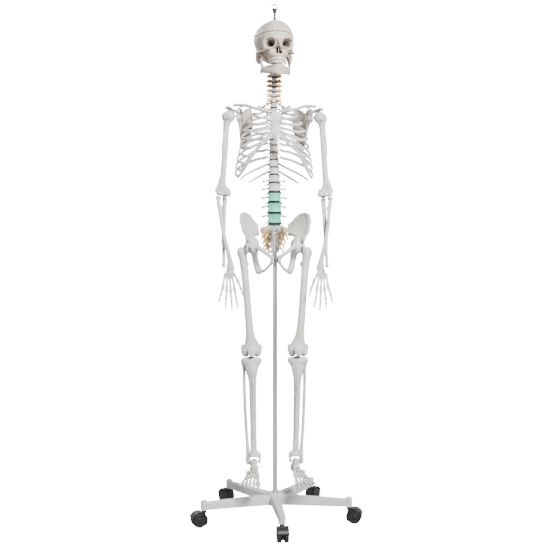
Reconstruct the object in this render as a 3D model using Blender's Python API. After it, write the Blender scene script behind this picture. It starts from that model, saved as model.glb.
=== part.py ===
"""Life-size human skeleton model on a pole and a five-arm roller stand.

World: metres, +Z up, floor at z = 0, the figure faces -Y, its left side is +X.
Coordinates in the shape tables are millimetres from the pole's axis on the floor.
"""
import math

import bmesh
import bpy
from mathutils import Euler, Matrix, Vector

MM = 0.001

# ---------------------------------------------------------------- stand, millimetres
ARM_REACH = 262.0            # pole axis to caster swivel axis
ARM_BOTTOM = 49.0
ARM_HEIGHT_HUB = 34.0
ARM_HEIGHT_TIP = 26.0
ARM_WIDTH_HUB = 34.0
ARM_WIDTH_TIP = 20.0
HUB_RADIUS = 30.0
SOCKET_RADIUS = 11.5
SOCKET_TOP = 86.0
SOCKET_BOTTOM = 53.5
WHEEL_RADIUS = 24.0
WHEEL_WIDTH = 14.0
CASTER_WIDTH = 39.0
CASTER_TRAIL = 20.0
WEB_THICKNESS = 7.0
STEM_RADIUS = 5.0
POLE_RADIUS = 8.0
POLE_TOP = 1024.0
POLE_FOOT = 54.0
FIT = 0.4                    # clearance of a pin in its bore
ARM_ANGLES = (0, 72, 144, 216, 288)
LOCK_Z = ARM_BOTTOM + ARM_HEIGHT_HUB / 2 + 4
LOCK_RADIUS = 3.0
KNOB_RADIUS = 9.0
KNOB_LENGTH = 12.0
KNOB_START = HUB_RADIUS + 20      # clear of the two back arms
COLLAR_RADIUS = 10.5         # clamp that carries the pelvis
COLLAR_BOTTOM = 992.0
COLLAR_TOP = 1020.0
LUG_SIZE = (14, 14, 18)      # block from the collar to the sacrum
LUG_CENTRE = (0, 10, 1008)

# The stand's front caster reaches further than its two back ones. The pole stands this
# far behind the middle of the footprint, so the footprint is centred on the world's axes.
CASTER_REACH = ARM_REACH + CASTER_TRAIL
BACK_DIRECTION = math.cos(math.radians(36))
BACK_CORNER = CASTER_REACH * BACK_DIRECTION + CASTER_WIDTH / 2 * math.sin(math.radians(36))
POLE_Y = ((CASTER_REACH + WHEEL_RADIUS) - (BACK_CORNER + WHEEL_RADIUS * BACK_DIRECTION)) / 2

# ---------------------------------------------------------------- joints of the skeleton, millimetres
HIP = Vector((87, 5, 953))
KNEE = Vector((82, 8, 585))
ANKLE = Vector((74, 8, 201))
SHOULDER = Vector((160, 14, 1414))
ELBOW = Vector((186, 21, 1142))
WRIST = Vector((162, -28, 872))
RADIUS_HEAD = Vector((199, 19, 1126))
ULNA_HEAD = Vector((181, -24, 887))
JAW = Vector((0, 14, 1638))
NOD = Vector((0, 27, 1599))
NECK_AXIS = Vector((0, 25, 1585))
HEAD_TURN = math.radians(6)          # the head looks a little to its left
CAP_CUT = 1694.0
HOOK_Y = 15                          # over the head's balance point
HOOK_BOTTOM = 1732
HOOK_RING_Z = 1802.5
HOOK_RING_RADIUS = 10
HOOK_WIRE = 2.5
FOOT_TURN = math.radians(7)
PIN_RADIUS = 3.0

# Vertebra centres: name, y, z, forward tilt in degrees.
CERVICAL = (
    ("vertebra_c7", 36, 1481, 14),
    ("vertebra_c6", 32, 1497, 9),
    ("vertebra_c5", 28, 1513, 4),
    ("vertebra_c4", 25, 1530, -2),
    ("vertebra_c3", 24, 1546, -6),
)
THORACIC = (
    ("t1", 42, 1463, 18), ("t2", 48, 1444, 15), ("t3", 53, 1425, 12), ("t4", 57, 1406, 8),
    ("t5", 59, 1387, 4), ("t6", 60, 1368, 0), ("t7", 60, 1348.5, -3), ("t8", 57, 1328, -6),
    ("t9", 53, 1304.5, -8), ("t10", 48, 1277.5, -9), ("t11", 42, 1250.5, -10), ("t12", 36, 1223, -10),
)
LUMBAR = (
    ("vertebra_l1", 29, 1194, -10),
    ("vertebra_l2", 23, 1163.5, -7),
    ("vertebra_l3", 19, 1129.5, -1),
    ("vertebra_l4", 18, 1093.5, 6),
    ("vertebra_l5", 21, 1057, 14),
)

# Ribs 1 to 10: half width at the angle, greatest half width and its z, front end, cartilage end.
RIBS = (
    (34, 54, 1456, (36, -12, 1428), (15, -22, 1410)),
    (48, 80, 1424, (55, -31, 1402), (15, -30, 1396)),
    (58, 98, 1394, (64, -42, 1376), (15, -36, 1381)),
    (64, 110, 1366, (70, -49, 1350), (15, -41, 1367)),
    (68, 118, 1338, (78, -52, 1322), (15, -45, 1354)),
    (70, 123, 1312, (88, -50, 1293), (15, -48, 1344)),
    (72, 127, 1288, (99, -42, 1265), (15, -50, 1336)),
    (72, 132, 1264, (110, -30, 1241), (58, -52, 1304)),
    (68, 136, 1241, (121, -14, 1219), (76, -48, 1276)),
    (62, 138, 1219, (130, 2, 1199), (94, -38, 1247)),
)
FLOATING_RIBS = (
    ((12, 52, 1253), (42, 70, 1243), (80, 68, 1225), (112, 46, 1203), (122, 24, 1189)),
    ((12, 46, 1225), (44, 62, 1212), (72, 62, 1196), (90, 54, 1184)),
)


# ---------------------------------------------------------------- building closed shapes
def spread(sizes, t):
    """Size at fraction t of a tube, as (half width, half height)."""
    sizes = sizes if isinstance(sizes, list) else [sizes]
    pairs = [size if isinstance(size, tuple) else (size, size) for size in sizes]
    place = t * (len(pairs) - 1)
    low = min(int(place), max(len(pairs) - 2, 0))
    high = min(low + 1, len(pairs) - 1)
    return [a + (b - a) * (place - low) for a, b in zip(pairs[low], pairs[high])]


def turned_frame(center, turn):
    """Place turned by Euler angles in degrees."""
    rotation = Euler([math.radians(t) for t in turn]).to_matrix().to_4x4()
    return Matrix.Translation(Vector(center)) @ rotation


class Shape:
    """Closed shells gathered into one mesh; side -1 mirrors them to the figure's right."""

    def __init__(self, side=1, move=None):
        self.bm = bmesh.new()
        self.side = side
        self.move = move or Matrix.Identity(4)

    def vert(self, point):
        p = self.move @ Vector(point)
        return self.bm.verts.new(Vector((p.x * self.side, p.y, p.z)) * MM)

    def skin(self, rings):
        """Joins rings of points into a closed shell with flat ends."""
        rows = [[self.vert(p) for p in ring] for ring in rings]
        count = len(rows[0])
        for low, high in zip(rows, rows[1:]):
            for i in range(count):
                j = (i + 1) % count
                self.bm.faces.new((low[i], low[j], high[j], high[i]))
        self.bm.faces.new(list(reversed(rows[0])))
        self.bm.faces.new(rows[-1])

    def tube(self, points, sizes, height=(0, 0, 1), sides=10):
        """Tube along points. A size is a radius or (half width, half height along `height`);
        a list of sizes is spread evenly from start to end."""
        points = [Vector(p) for p in points]
        rings = []
        for i, p in enumerate(points):
            ahead = points[min(i + 1, len(points) - 1)] - points[max(i - 1, 0)]
            wide = ahead.cross(Vector(height)).normalized()
            tall = wide.cross(ahead).normalized()
            a, b = spread(sizes, i / (len(points) - 1))
            turns = [2 * math.pi * k / sides for k in range(sides)]
            rings.append([p + wide * a * math.cos(t) + tall * b * math.sin(t) for t in turns])
        self.skin(rings)

    def ball(self, center, radii, turn=(0, 0, 0), sides=14):
        """Ellipsoid turned by Euler angles in degrees."""
        radii = radii if isinstance(radii, tuple) else (radii, radii, radii)
        frame = turned_frame(center, turn)
        rings = []
        for k in range(1, sides // 2):
            lat = -math.pi / 2 + math.pi * k / (sides // 2)
            ring = []
            for i in range(sides):
                lon = 2 * math.pi * i / sides
                flat = math.cos(lat)
                x, y, z = flat * math.cos(lon), flat * math.sin(lon), math.sin(lat)
                ring.append(frame @ Vector((x * radii[0], y * radii[1], z * radii[2])))
            rings.append(ring)
        self.skin(rings)

    def block(self, center, size, turn=(0, 0, 0)):
        """Box of full size turned by Euler angles in degrees."""
        frame = turned_frame(center, turn)
        rings = []
        for z in (-0.5, 0.5):
            corners = ((-0.5, -0.5), (0.5, -0.5), (0.5, 0.5), (-0.5, 0.5))
            rings.append([frame @ Vector((x * size[0], y * size[1], z * size[2])) for x, y in corners])
        self.skin(rings)

    def rod(self, start, end, radius, sides=20):
        """Straight round bar between two points."""
        along = Vector(end) - Vector(start)
        height = (0, 0, 1) if abs(along.normalized().z) < 0.9 else (0, 1, 0)
        self.tube((start, end), radius, height, sides)

    def prism(self, outline, axis_from, axis_to):
        """Outline of (forward, up) points in the y-z plane, pulled along x."""
        self.skin([[(x, y, z) for y, z in outline] for x in (axis_from, axis_to)])

    def sheet(self, rows, thickness):
        """Bent plate of even thickness through a grid of points."""
        grid = [[Vector(p) for p in row] for row in rows]
        high, wide = len(grid), len(grid[0])
        faces = {}
        for side in (-0.5, 0.5):
            for r in range(high):
                for c in range(wide):
                    across = grid[r][min(c + 1, wide - 1)] - grid[r][max(c - 1, 0)]
                    up = grid[min(r + 1, high - 1)][c] - grid[max(r - 1, 0)][c]
                    normal = across.cross(up).normalized()
                    faces[side, r, c] = self.vert(grid[r][c] + normal * thickness * side)
        for side in (-0.5, 0.5):
            for r in range(high - 1):
                for c in range(wide - 1):
                    quad = [faces[side, r, c], faces[side, r, c + 1],
                            faces[side, r + 1, c + 1], faces[side, r + 1, c]]
                    self.bm.faces.new(quad)
        edge = [(0, c) for c in range(wide)] + [(r, wide - 1) for r in range(1, high)]
        edge += [(high - 1, c) for c in range(wide - 2, -1, -1)] + [(r, 0) for r in range(high - 2, 0, -1)]
        for k, here in enumerate(edge):
            there = edge[(k + 1) % len(edge)]
            self.bm.faces.new((faces[(-0.5, *here)], faces[(-0.5, *there)],
                               faces[(0.5, *there)], faces[(0.5, *here)]))


def curve(points, steps=3):
    """Smooth curve through control points, `steps` points to a span."""
    points = [Vector(p) for p in points]
    ends = [points[0] * 2 - points[1]] + points + [points[-1] * 2 - points[-2]]
    result = []
    for a, b, c, d in zip(ends, ends[1:], ends[2:], ends[3:]):
        for k in range(steps):
            t = k / steps
            result.append(0.5 * (2 * b + (c - a) * t + (2 * a - 5 * b + 4 * c - d) * t * t
                                 + (3 * b - a - 3 * c + d) * t * t * t))
    result.append(points[-1])
    return result


def mix(a, b, t):
    return Vector(a) + (Vector(b) - Vector(a)) * t


# ---------------------------------------------------------------- objects and materials
MATERIALS = {
    "bone": ((0.80, 0.74, 0.68, 1), 0.0, 0.45),
    "teal_bone": ((0.42, 0.78, 0.66, 1), 0.0, 0.45),
    "chrome": ((0.78, 0.79, 0.80, 1), 1.0, 0.12),
    "painted_base": ((0.82, 0.82, 0.82, 1), 0.0, 0.35),
    "black_plastic": ((0.02, 0.02, 0.022, 1), 0.0, 0.4),
}


def material(node, kind):
    """Each sub-part has its own material."""
    colour, metal, rough = MATERIALS[kind]
    mat = bpy.data.materials.new(node)
    mat.use_nodes = True
    shader = mat.node_tree.nodes["Principled BSDF"]
    shader.inputs["Base Color"].default_value = colour
    shader.inputs["Metallic"].default_value = metal
    shader.inputs["Roughness"].default_value = rough
    mat.diffuse_color = colour
    return mat


def pivot_of(point, side=1):
    """World position of a joint given in the figure's millimetres."""
    return Vector((point[0] * side, point[1], point[2])) * MM


def node(shape, name, kind, pivot=(0, 0, 0), side=1):
    """Object whose origin is its joint's pivot."""
    bmesh.ops.recalc_face_normals(shape.bm, faces=shape.bm.faces)
    origin = pivot_of(pivot, side)
    bmesh.ops.translate(shape.bm, verts=shape.bm.verts, vec=-origin)
    mesh = bpy.data.meshes.new(name)
    shape.bm.to_mesh(mesh)
    shape.bm.free()
    obj = bpy.data.objects.new(name, mesh)
    obj.location = origin + Vector((0, POLE_Y * MM, 0))
    bpy.context.collection.objects.link(obj)
    if kind:
        mesh.materials.append(material(name, kind))
        mesh.shade_smooth()
    return obj


def cut(obj, cutters, name):
    """Takes the cutters' shells away from the object."""
    tool = node(cutters, name, None)
    tool.hide_render = True
    tool.display_type = "WIRE"
    mod = obj.modifiers.new(name, "BOOLEAN")
    mod.operation = "DIFFERENCE"
    mod.solver = "EXACT"
    mod.use_self = True
    mod.object = tool


def join(obj, extra, name):
    """Adds the extra shells to the object."""
    tool = node(extra, name, None)
    tool.hide_render = True
    tool.display_type = "WIRE"
    mod = obj.modifiers.new(name, "BOOLEAN")
    mod.operation = "UNION"
    mod.solver = "EXACT"
    mod.use_self = True
    mod.object = tool


def melt(obj, voxel):
    """Makes one closed body of all shells."""
    mod = obj.modifiers.new("Melt", "REMESH")
    mod.mode = "VOXEL"
    mod.voxel_size = voxel * MM
    mod.use_smooth_shade = True


def triangles(obj):
    """Triangle count after the modifiers so far."""
    seen = obj.evaluated_get(bpy.context.evaluated_depsgraph_get())
    mesh = seen.to_mesh()
    count = sum(len(p.vertices) - 2 for p in mesh.polygons)
    seen.to_mesh_clear()
    return count


def soften(obj, faces, rounds=3):
    """Smooths the body, then keeps about `faces` triangles."""
    mod = obj.modifiers.new("Soften", "SMOOTH")
    mod.factor = 0.5
    mod.iterations = rounds
    count = triangles(obj)
    mod = obj.modifiers.new("Thin", "DECIMATE")
    mod.ratio = min(1.0, faces / count)
    mod.use_collapse_triangulate = True


def bone(shape, name, voxel, faces, pivot=(0, 0, 0), side=1, kind="bone", rounds=3):
    """One closed, rounded bone."""
    obj = node(shape, name, kind, pivot, side)
    melt(obj, voxel)
    soften(obj, faces, rounds)
    return obj


# ---------------------------------------------------------------- stand
def spun(angle, x, y, z):
    """Point given along an arm (x across, y outwards) turned to that arm; angle 0 is the front."""
    t = math.radians(angle)
    return Vector((x * math.cos(t) + y * math.sin(t), x * math.sin(t) - y * math.cos(t), z))


def base_frame():
    hub = Shape()
    hub.rod((0, 0, ARM_BOTTOM - 2), (0, 0, ARM_BOTTOM + ARM_HEIGHT_HUB + 6), HUB_RADIUS, 24)
    obj = node(hub, "base_frame", "painted_base")
    for index, angle in enumerate(ARM_ANGLES):
        arm = Shape()
        rings = []
        ends = ((12, ARM_WIDTH_HUB, ARM_HEIGHT_HUB, ARM_BOTTOM),
                (ARM_REACH, ARM_WIDTH_TIP, ARM_HEIGHT_TIP, ARM_BOTTOM + 6))
        for reach, width, height, bottom in ends:
            corners = ((-width / 2, bottom), (width / 2, bottom), (width / 2, bottom + height),
                       (-width / 2, bottom + height))
            rings.append([spun(angle, x, reach, z) for x, z in corners])
        arm.skin(rings)
        join(obj, arm, f"arm_{index + 1}")
        socket = Shape()
        socket.rod(spun(angle, 0, ARM_REACH, SOCKET_BOTTOM), spun(angle, 0, ARM_REACH, SOCKET_TOP),
                   SOCKET_RADIUS, 14)
        join(obj, socket, f"socket_{index + 1}")
        bore = Shape()
        low, high = SOCKET_BOTTOM - 10, SOCKET_TOP - 6
        bore.rod(spun(angle, 0, ARM_REACH, low), spun(angle, 0, ARM_REACH, high), STEM_RADIUS + FIT, 12)
        cut(obj, bore, f"stem_bore_{index + 1}")
    bore = Shape()
    bore.rod((0, 0, POLE_FOOT - FIT), (0, 0, 200), POLE_RADIUS + FIT, 20)
    cut(obj, bore, "pole_bore")
    screw = Shape()
    screw.rod((0, 0, LOCK_Z), (0, 80, LOCK_Z), LOCK_RADIUS + FIT, 12)
    cut(obj, screw, "lock_bore")


def lock_screw():
    shape = Shape()
    shape.rod((0, POLE_RADIUS + FIT, LOCK_Z), (0, KNOB_START + 6, LOCK_Z), LOCK_RADIUS, 12)
    obj = node(shape, "base_lock_screw", "black_plastic")
    knob = Shape()
    knob.rod((0, KNOB_START, LOCK_Z), (0, KNOB_START + KNOB_LENGTH, LOCK_Z), KNOB_RADIUS, 10)
    join(obj, knob, "lock_knob")


def pole():
    shape = Shape()
    shape.rod((0, 0, POLE_FOOT), (0, 0, POLE_TOP), POLE_RADIUS, 20)
    obj = node(shape, "pole", "chrome")
    collar = Shape()
    collar.rod((0, 0, COLLAR_BOTTOM), (0, 0, COLLAR_TOP), COLLAR_RADIUS, 16)
    join(obj, collar, "pole_collar")
    lug = Shape()
    lug.block(LUG_CENTRE, LUG_SIZE)
    join(obj, lug, "pole_lug")


def caster(index, angle):
    """A hooded fork and its pair of wheels, trailing outwards from the swivel axis."""
    axle = spun(angle, 0, CASTER_REACH, WHEEL_RADIUS)
    turn = Matrix.Rotation(math.radians(angle), 4, "Z")
    frame = Matrix.Translation(axle) @ turn
    swivel = spun(angle, 0, ARM_REACH, SOCKET_BOTTOM)
    fork = Shape(move=frame)
    web = [(math.sin(t) * 17.0, math.cos(t) * 17.0) for t in (2 * math.pi * k / 12 for k in range(12))]
    fork.prism(web, -WEB_THICKNESS / 2, WEB_THICKNESS / 2)
    fork_node = node(fork, f"caster_fork_{index}", "black_plastic", swivel)
    outer, inner = WHEEL_RADIUS + 4.0, WHEEL_RADIUS + 1.6
    arc = [math.radians(-20 + 16 * k) for k in range(9)]
    hood_line = [(math.cos(t) * outer, math.sin(t) * outer) for t in arc]
    hood_line += [(math.cos(t) * inner, math.sin(t) * inner) for t in reversed(arc)]
    hood = Shape(move=frame)
    hood.prism(hood_line, -CASTER_WIDTH / 2, CASTER_WIDTH / 2)
    join(fork_node, hood, f"hood_{index}")
    rib = Shape(move=frame)
    rib_arc = [math.radians(-7 + 18 * k) for k in range(7)]
    rib_line = [(math.cos(t) * (inner + 1.2), math.sin(t) * (inner + 1.2)) for t in rib_arc]
    rib.prism([(0, 0)] + rib_line, 0.6 - WEB_THICKNESS / 2, WEB_THICKNESS / 2 - 0.6)
    join(fork_node, rib, f"hood_rib_{index}")
    stem = Shape(move=frame)
    stem.rod((0, CASTER_TRAIL, 8), (0, CASTER_TRAIL, SOCKET_TOP - 8 - WHEEL_RADIUS), STEM_RADIUS, 12)
    join(fork_node, stem, f"stem_{index}")
    bore = Shape(move=frame)
    bore.rod((-30, 0, 0), (30, 0, 0), 3.0 + FIT, 10)
    cut(fork_node, bore, f"axle_bore_{index}")
    wheels = Shape(move=frame)
    wheels.rod((-CASTER_WIDTH / 2 + 4, 0, 0), (CASTER_WIDTH / 2 - 4, 0, 0), 3.0, 10)
    wheel_node = node(wheels, f"caster_wheels_{index}", "black_plastic", axle)
    for label, start in (("a", -CASTER_WIDTH / 2 + 0.5), ("b", CASTER_WIDTH / 2 - 0.5 - WHEEL_WIDTH)):
        disc = Shape(move=frame)
        disc.rod((start, 0, 0), (start + WHEEL_WIDTH, 0, 0), WHEEL_RADIUS, 20)
        join(wheel_node, disc, f"wheel_{label}_{index}")


# ---------------------------------------------------------------- skull
def head_frame():
    """The head turned about the neck's upright axis."""
    here = Matrix.Translation(NECK_AXIS)
    return here @ Matrix.Rotation(HEAD_TURN, 4, "Z") @ here.inverted()


def vault(shape, wall=0.0):
    """Egg of the brain case, drawn in by the wall's thickness."""
    shape.ball((0, -4, 1688), (58 - wall, 66 - wall, 61 - wall), sides=22)
    shape.ball((0, 38, 1690), (71 - wall, 77 - wall, 64 - wall), sides=24)
    shape.ball((0, 52, 1652), (56 - wall, 52 - wall, 40 - wall), sides=20)


def cranium():
    skull = Shape(move=head_frame())
    vault(skull)
    skull.ball((0, 30, 1622), (34, 30, 17))
    for side in (-1, 1):
        skull.ball((side * 20, 28, 1609), (8, 12, 7))
        skull.tube(curve(((side * 55, 34, 1640), (side * 57, 34, 1618), (side * 53, 32, 1606))),
                   [11] * 3 + [10, 9, 8, 5])
        arch = ((side * 40, -48, 1642), (side * 55, -34, 1634), (side * 63, -10, 1634),
                (side * 62, 10, 1642), (side * 55, 24, 1646))
        skull.tube(curve(arch), (3.2, 5.0))
        brow = ((side * 8, -62, 1670), (side * 30, -63, 1676), (side * 49, -50, 1668),
                (side * 50, -42, 1652), (side * 42, -48, 1640))
        skull.tube(curve(brow), 5.5)
        skull.tube(curve(((side * 46, -46, 1640), (side * 34, -56, 1638), (side * 20, -64, 1644))), 6.5)
        skull.ball((side * 22, -42, 1626), (17, 22, 18))
    skull.ball((0, -52, 1614), (25, 22, 13))
    skull.tube(curve(((0, -64, 1672), (0, -70, 1660), (0, -77, 1648))), [7, 6, 6, 5, 4, 4, 3.5])
    skull.tube(curve(((-26, -30, 1605), (-20, -58, 1604), (0, -71, 1604), (20, -58, 1604),
                      (26, -30, 1605))), (5.0, 6.5))
    obj = node(skull, "cranium", "bone", NOD)
    melt(obj, 3.0)
    hollow = Shape(move=head_frame())
    vault(hollow, 6.0)
    cut(obj, hollow, "brain_case")
    top = Shape(move=head_frame())
    top.block((0, 20, CAP_CUT + 60), (220, 260, 120))
    cut(obj, top, "cap_opening")
    holes = Shape(move=head_frame())
    for side in (-1, 1):
        holes.ball((side * 31, -62, 1656), (17, 27, 14.5), (0, 0, side * 12))
    holes.ball((0, -76, 1634), (10.5, 20, 15))
    holes.rod((0, 30, 1580), (0, 30, 1650), 12)
    cut(obj, holes, "openings")
    melt(obj, 2.5)
    soften(obj, 800, 2)


def skull_cap():
    shape = Shape(move=head_frame())
    vault(shape)
    obj = node(shape, "skull_cap", "bone", (0, 20, CAP_CUT))
    melt(obj, 3.0)
    hollow = Shape(move=head_frame())
    vault(hollow, 6.0)
    cut(obj, hollow, "cap_hollow")
    below = Shape(move=head_frame())
    below.block((0, 20, CAP_CUT + 1.5 - 60), (220, 260, 120))
    cut(obj, below, "cap_rim")
    melt(obj, 2.5)
    soften(obj, 300, 2)
    bore = Shape()
    bore.rod((0, 15, 1715), (0, 15, 1780), 3.0 + FIT, 14)
    cut(obj, bore, "hook_bore")


def eye_hook():
    """Bolt through the cap with a nut inside, a flared neck and a ring to hang the model by."""
    shape = Shape()
    shape.rod((0, HOOK_Y, HOOK_BOTTOM), (0, HOOK_Y, 1781), 3.0, 12)
    obj = node(shape, "eye_hook", "chrome", (0, HOOK_Y, 1755))
    flange = Shape()
    flange.tube([(0, HOOK_Y, z) for z in (1756, 1768, 1780, 1793)], [6, 4.5, 5, 8.5], (0, 1, 0), 12)
    join(obj, flange, "hook_flare")
    nut = Shape()
    nut.rod((0, HOOK_Y, HOOK_BOTTOM + 2), (0, HOOK_Y, HOOK_BOTTOM + 7), 7, 6)
    join(obj, nut, "hook_nut")
    ring = Shape()
    around, bends = 16, 6
    rows = []
    for k in range(around):
        turn = 2 * math.pi * k / around
        outward = Vector((math.cos(turn), 0, math.sin(turn)))
        middle = Vector((0, HOOK_Y, HOOK_RING_Z)) + outward * HOOK_RING_RADIUS
        row = []
        for i in range(bends):
            bend = 2 * math.pi * i / bends
            sideways = Vector((0, HOOK_WIRE * math.sin(bend), 0))
            row.append(ring.vert(middle + outward * HOOK_WIRE * math.cos(bend) + sideways))
        rows.append(row)
    for here, there in zip(rows, rows[1:] + rows[:1]):
        for i in range(bends):
            j = (i + 1) % bends
            ring.bm.faces.new((here[i], here[j], there[j], there[i]))
    join(obj, ring, "hook_ring")


def mandible():
    shape = Shape(move=head_frame())
    row = []
    for side in (-1, 1):
        body = ((0, -66, 1555), (side * 14, -63, 1556), (side * 32, -42, 1560), (side * 44, -16, 1567),
                (side * 49, 2, 1574))
        shape.tube(curve(body), (5.0, 10.0))
        ramus = ((side * 49, -2, 1574), (side * 51, 2, 1596), (side * 52, 7, 1614))
        shape.tube(curve(ramus), [(13, 3.5)] * 6 + [(12, 3.2)], (1, 0, 0))
        shape.tube(curve(((side * 52, 10, 1608), (side * 52, 13, 1622), (side * 52, 14, 1630))), 4.0)
        shape.ball((side * 52, 14, 1630), (8.5, 4.5, 4.5))
        shape.tube(curve(((side * 50, -4, 1606), (side * 49, -8, 1618), (side * 48, -6, 1626))),
                   [5] * 4 + [4, 3, 2.5])
        row.append((side * 24, -32, 1573))
    shape.ball((0, -68, 1551), (16, 7, 9))
    shape.tube(curve((row[0], (-18, -56, 1574), (0, -68, 1575), (18, -56, 1574), row[1])), (4.5, 16.0))
    bone(shape, "mandible", 2.4, 360, JAW)


# ---------------------------------------------------------------- spine
def spine_frame(y, z, tilt):
    return Matrix.Translation((0, y, z)) @ Matrix.Rotation(math.radians(tilt), 4, "X")


def vertebra_shells(shape, half_width, half_depth, height, arch, wing, spine_tip, thick):
    """Body, arch round the canal, transverse processes, facets and spinous process."""
    half = height / 2
    body = ((0, 0, -half), (0, 0, -half * 0.5), (0, 0, 0), (0, 0, half * 0.5), (0, 0, half))
    waist = [(half_width * f, half_depth * f) for f in (1.0, 0.93, 0.88, 0.93, 1.0)]
    shape.tube(body, waist, (0, 1, 0), 16)
    back = half_depth + arch
    for side in (-1, 1):
        wall = ((side * half_width * 0.55, half_depth * 0.7, half * 0.3),
                (side * (half_width * 0.55 + 2), half_depth + arch * 0.4, half * 0.2),
                (0, back, -half * 0.1))
        shape.tube(curve(wall), (thick * 0.8, thick * 1.2))
        tip = Vector((side * wing[0], half_depth + wing[1], wing[2]))
        root = Vector((side * half_width * 0.6, half_depth + arch * 0.35, half * 0.15))
        shape.tube((root, mix(root, tip, 0.5), tip), [thick, thick * 0.85, thick * 0.95])
        facet = (side * half_width * 0.62, half_depth + arch * 0.55, 0)
        shape.ball(facet, (thick * 1.3, thick * 1.1, half * 0.98))
    root = Vector((0, back - 1, -half * 0.1))
    tip = Vector((0, half_depth + spine_tip[0], spine_tip[1]))
    shape.tube((root, mix(root, tip, 0.5), tip), [(thick * 0.8, spine_tip[2])] * 3)


def cervical(name, y, z, tilt):
    shape = Shape(move=spine_frame(y, z, tilt))
    long = {"vertebra_c7": 38, "vertebra_c6": 30}.get(name, 23)
    vertebra_shells(shape, 10.5, 7.5, 12.0, 15, (26, 1, -1), (long, -7, 2.6), 2.9)
    bone(shape, name, 1.5, 160, (0, y - 1, z - 8), rounds=2)


def axis_bone():
    shape = Shape(move=spine_frame(25, 1565, -8))
    vertebra_shells(shape, 10.5, 8.0, 14.0, 16, (25, 0, -3), (26, -4, 4.0), 3.2)
    shape.ball((-11, -1, 6), (9, 9, 4))
    shape.ball((11, -1, 6), (9, 9, 4))
    shape.tube(((0, 1, 4), (0, 1, 17), (0, 2, 26)), [4.6, 4.6, 3.6], (0, 1, 0))
    bone(shape, "axis", 1.5, 200, (0, 24, 1556), rounds=2)


def atlas():
    shape = Shape(move=head_frame() @ spine_frame(25, 1587, -6))
    for side in (-1, 1):
        shape.ball((side * 20, 2, 0), (9, 12, 5.0))
        ring = ((0, -11, 0), (side * 11, -8, 0), (side * 19, 0, 0), (side * 19, 16, 0), (side * 10, 28, 0),
                (0, 31, 0))
        shape.tube(curve(ring), (3.2, 3.6))
        shape.tube(((side * 22, 5, 0), (side * 36, 9, -1)), [4, 3.4])
    bone(shape, "atlas", 1.5, 200, NECK_AXIS, rounds=2)


def thoracic_spine():
    shape = Shape()
    for index, (_, y, z, tilt) in enumerate(THORACIC):
        grow = index / 11
        pitch = 19.0 if index < 8 else 27.0
        half_width = 13.5 + 5.0 * grow
        half_depth = 10.0 + 4.5 * grow
        shape.move = spine_frame(y, z, tilt)
        wing = (25 - 8 * grow, 10, 2)
        drop = -20 if 3 < index < 9 else -12
        vertebra_shells(shape, half_width, half_depth, pitch * 0.8, 13, wing, (33 - 4 * grow, drop, 4.0), 3.0)
    shape.move = Matrix.Identity(4)
    middle = [Vector((0, y, z)) for _, y, z, _ in THORACIC]
    shape.tube(middle, [(11 + 0.4 * k, 8 + 0.4 * k) for k in range(12)], (0, 1, 0), 12)
    for side in (-1, 1):
        for points in FLOATING_RIBS:
            path = curve([(side * x, y, z) for x, y, z in points])
            shape.tube(path, [(2.8, 5.0)] * (len(path) - 1) + [(2.0, 3.4)])
    bone(shape, "thoracic_spine", 2.0, 1100, (0, 33, 1209), rounds=2)


def lumbar(name, y, z, tilt):
    shape = Shape(move=spine_frame(y, z, tilt))
    size = {"vertebra_l1": 0, "vertebra_l2": 1, "vertebra_l3": 2, "vertebra_l4": 3, "vertebra_l5": 3}[name]
    height = 22 + size
    wide = 22.5 + size * 1.4
    vertebra_shells(shape, wide, 16 + size * 0.5, height, 18, (42 - abs(size - 2) * 2, 10, 0),
                    (46, -4, 8.5), 4.2)
    bone(shape, name, 2.0, 220, (0, y, z - height / 2 - 4), rounds=2)


def sacrum():
    shape = Shape()
    path = ((0, 30, 1021), (0, 46, 1004), (0, 62, 982), (0, 72, 960), (0, 74, 938), (0, 68, 918),
            (0, 60, 904))
    wide = ((44, 14), (45, 13), (35, 11), (29, 9), (20, 7), (9, 5), (4, 3))
    shape.tube(path, list(wide), (0, 1, 0), 18)
    shape.ball((0, 30, 1028), (24, 16, 7), (20, 0, 0))
    for side in (-1, 1):
        shape.ball((side * 34, 44, 1014), (18, 17, 15), (20, 0, 0))
        shape.tube(((side * 14, 55, 1036), (side * 15, 57, 1042)), 4)
        shape.tube(curve(((side * 14, 54, 1034), (side * 16, 66, 1012), (side * 14, 80, 985))), 5)
    shape.tube(curve(((0, 62, 1024), (0, 76, 1003), (0, 86, 975))), (3.5, 5.0), (0, 1, 0))
    bone(shape, "sacrum", 2.6, 420)


# ---------------------------------------------------------------- chest and shoulder girdle
def rib_path(index):
    """Control points of rib 1 to 10 from the spine to the front end, left side."""
    angle_x, half_width, wide_z, end, _ = RIBS[index]
    _, y, z, _ = THORACIC[index]
    grow = index / 11
    end = Vector(end)
    head = Vector((19.5 + 5.5 * grow, y + 9, z + 2))
    tubercle = Vector((35 - 2 * grow, y + 23, z - 2))
    angle = Vector((angle_x, y + 31, z - 7))
    wide = Vector((half_width, (angle.y + end.y) / 2 + 4, wide_z))
    behind = Vector((mix(angle, wide, 0.74).x, mix(angle, wide, 0.40).y, mix(angle, wide, 0.52).z))
    before = Vector((mix(end, wide, 0.72).x, mix(end, wide, 0.34).y, mix(end, wide, 0.42).z))
    return [head, tubercle, angle, behind, wide, before, end]


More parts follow.
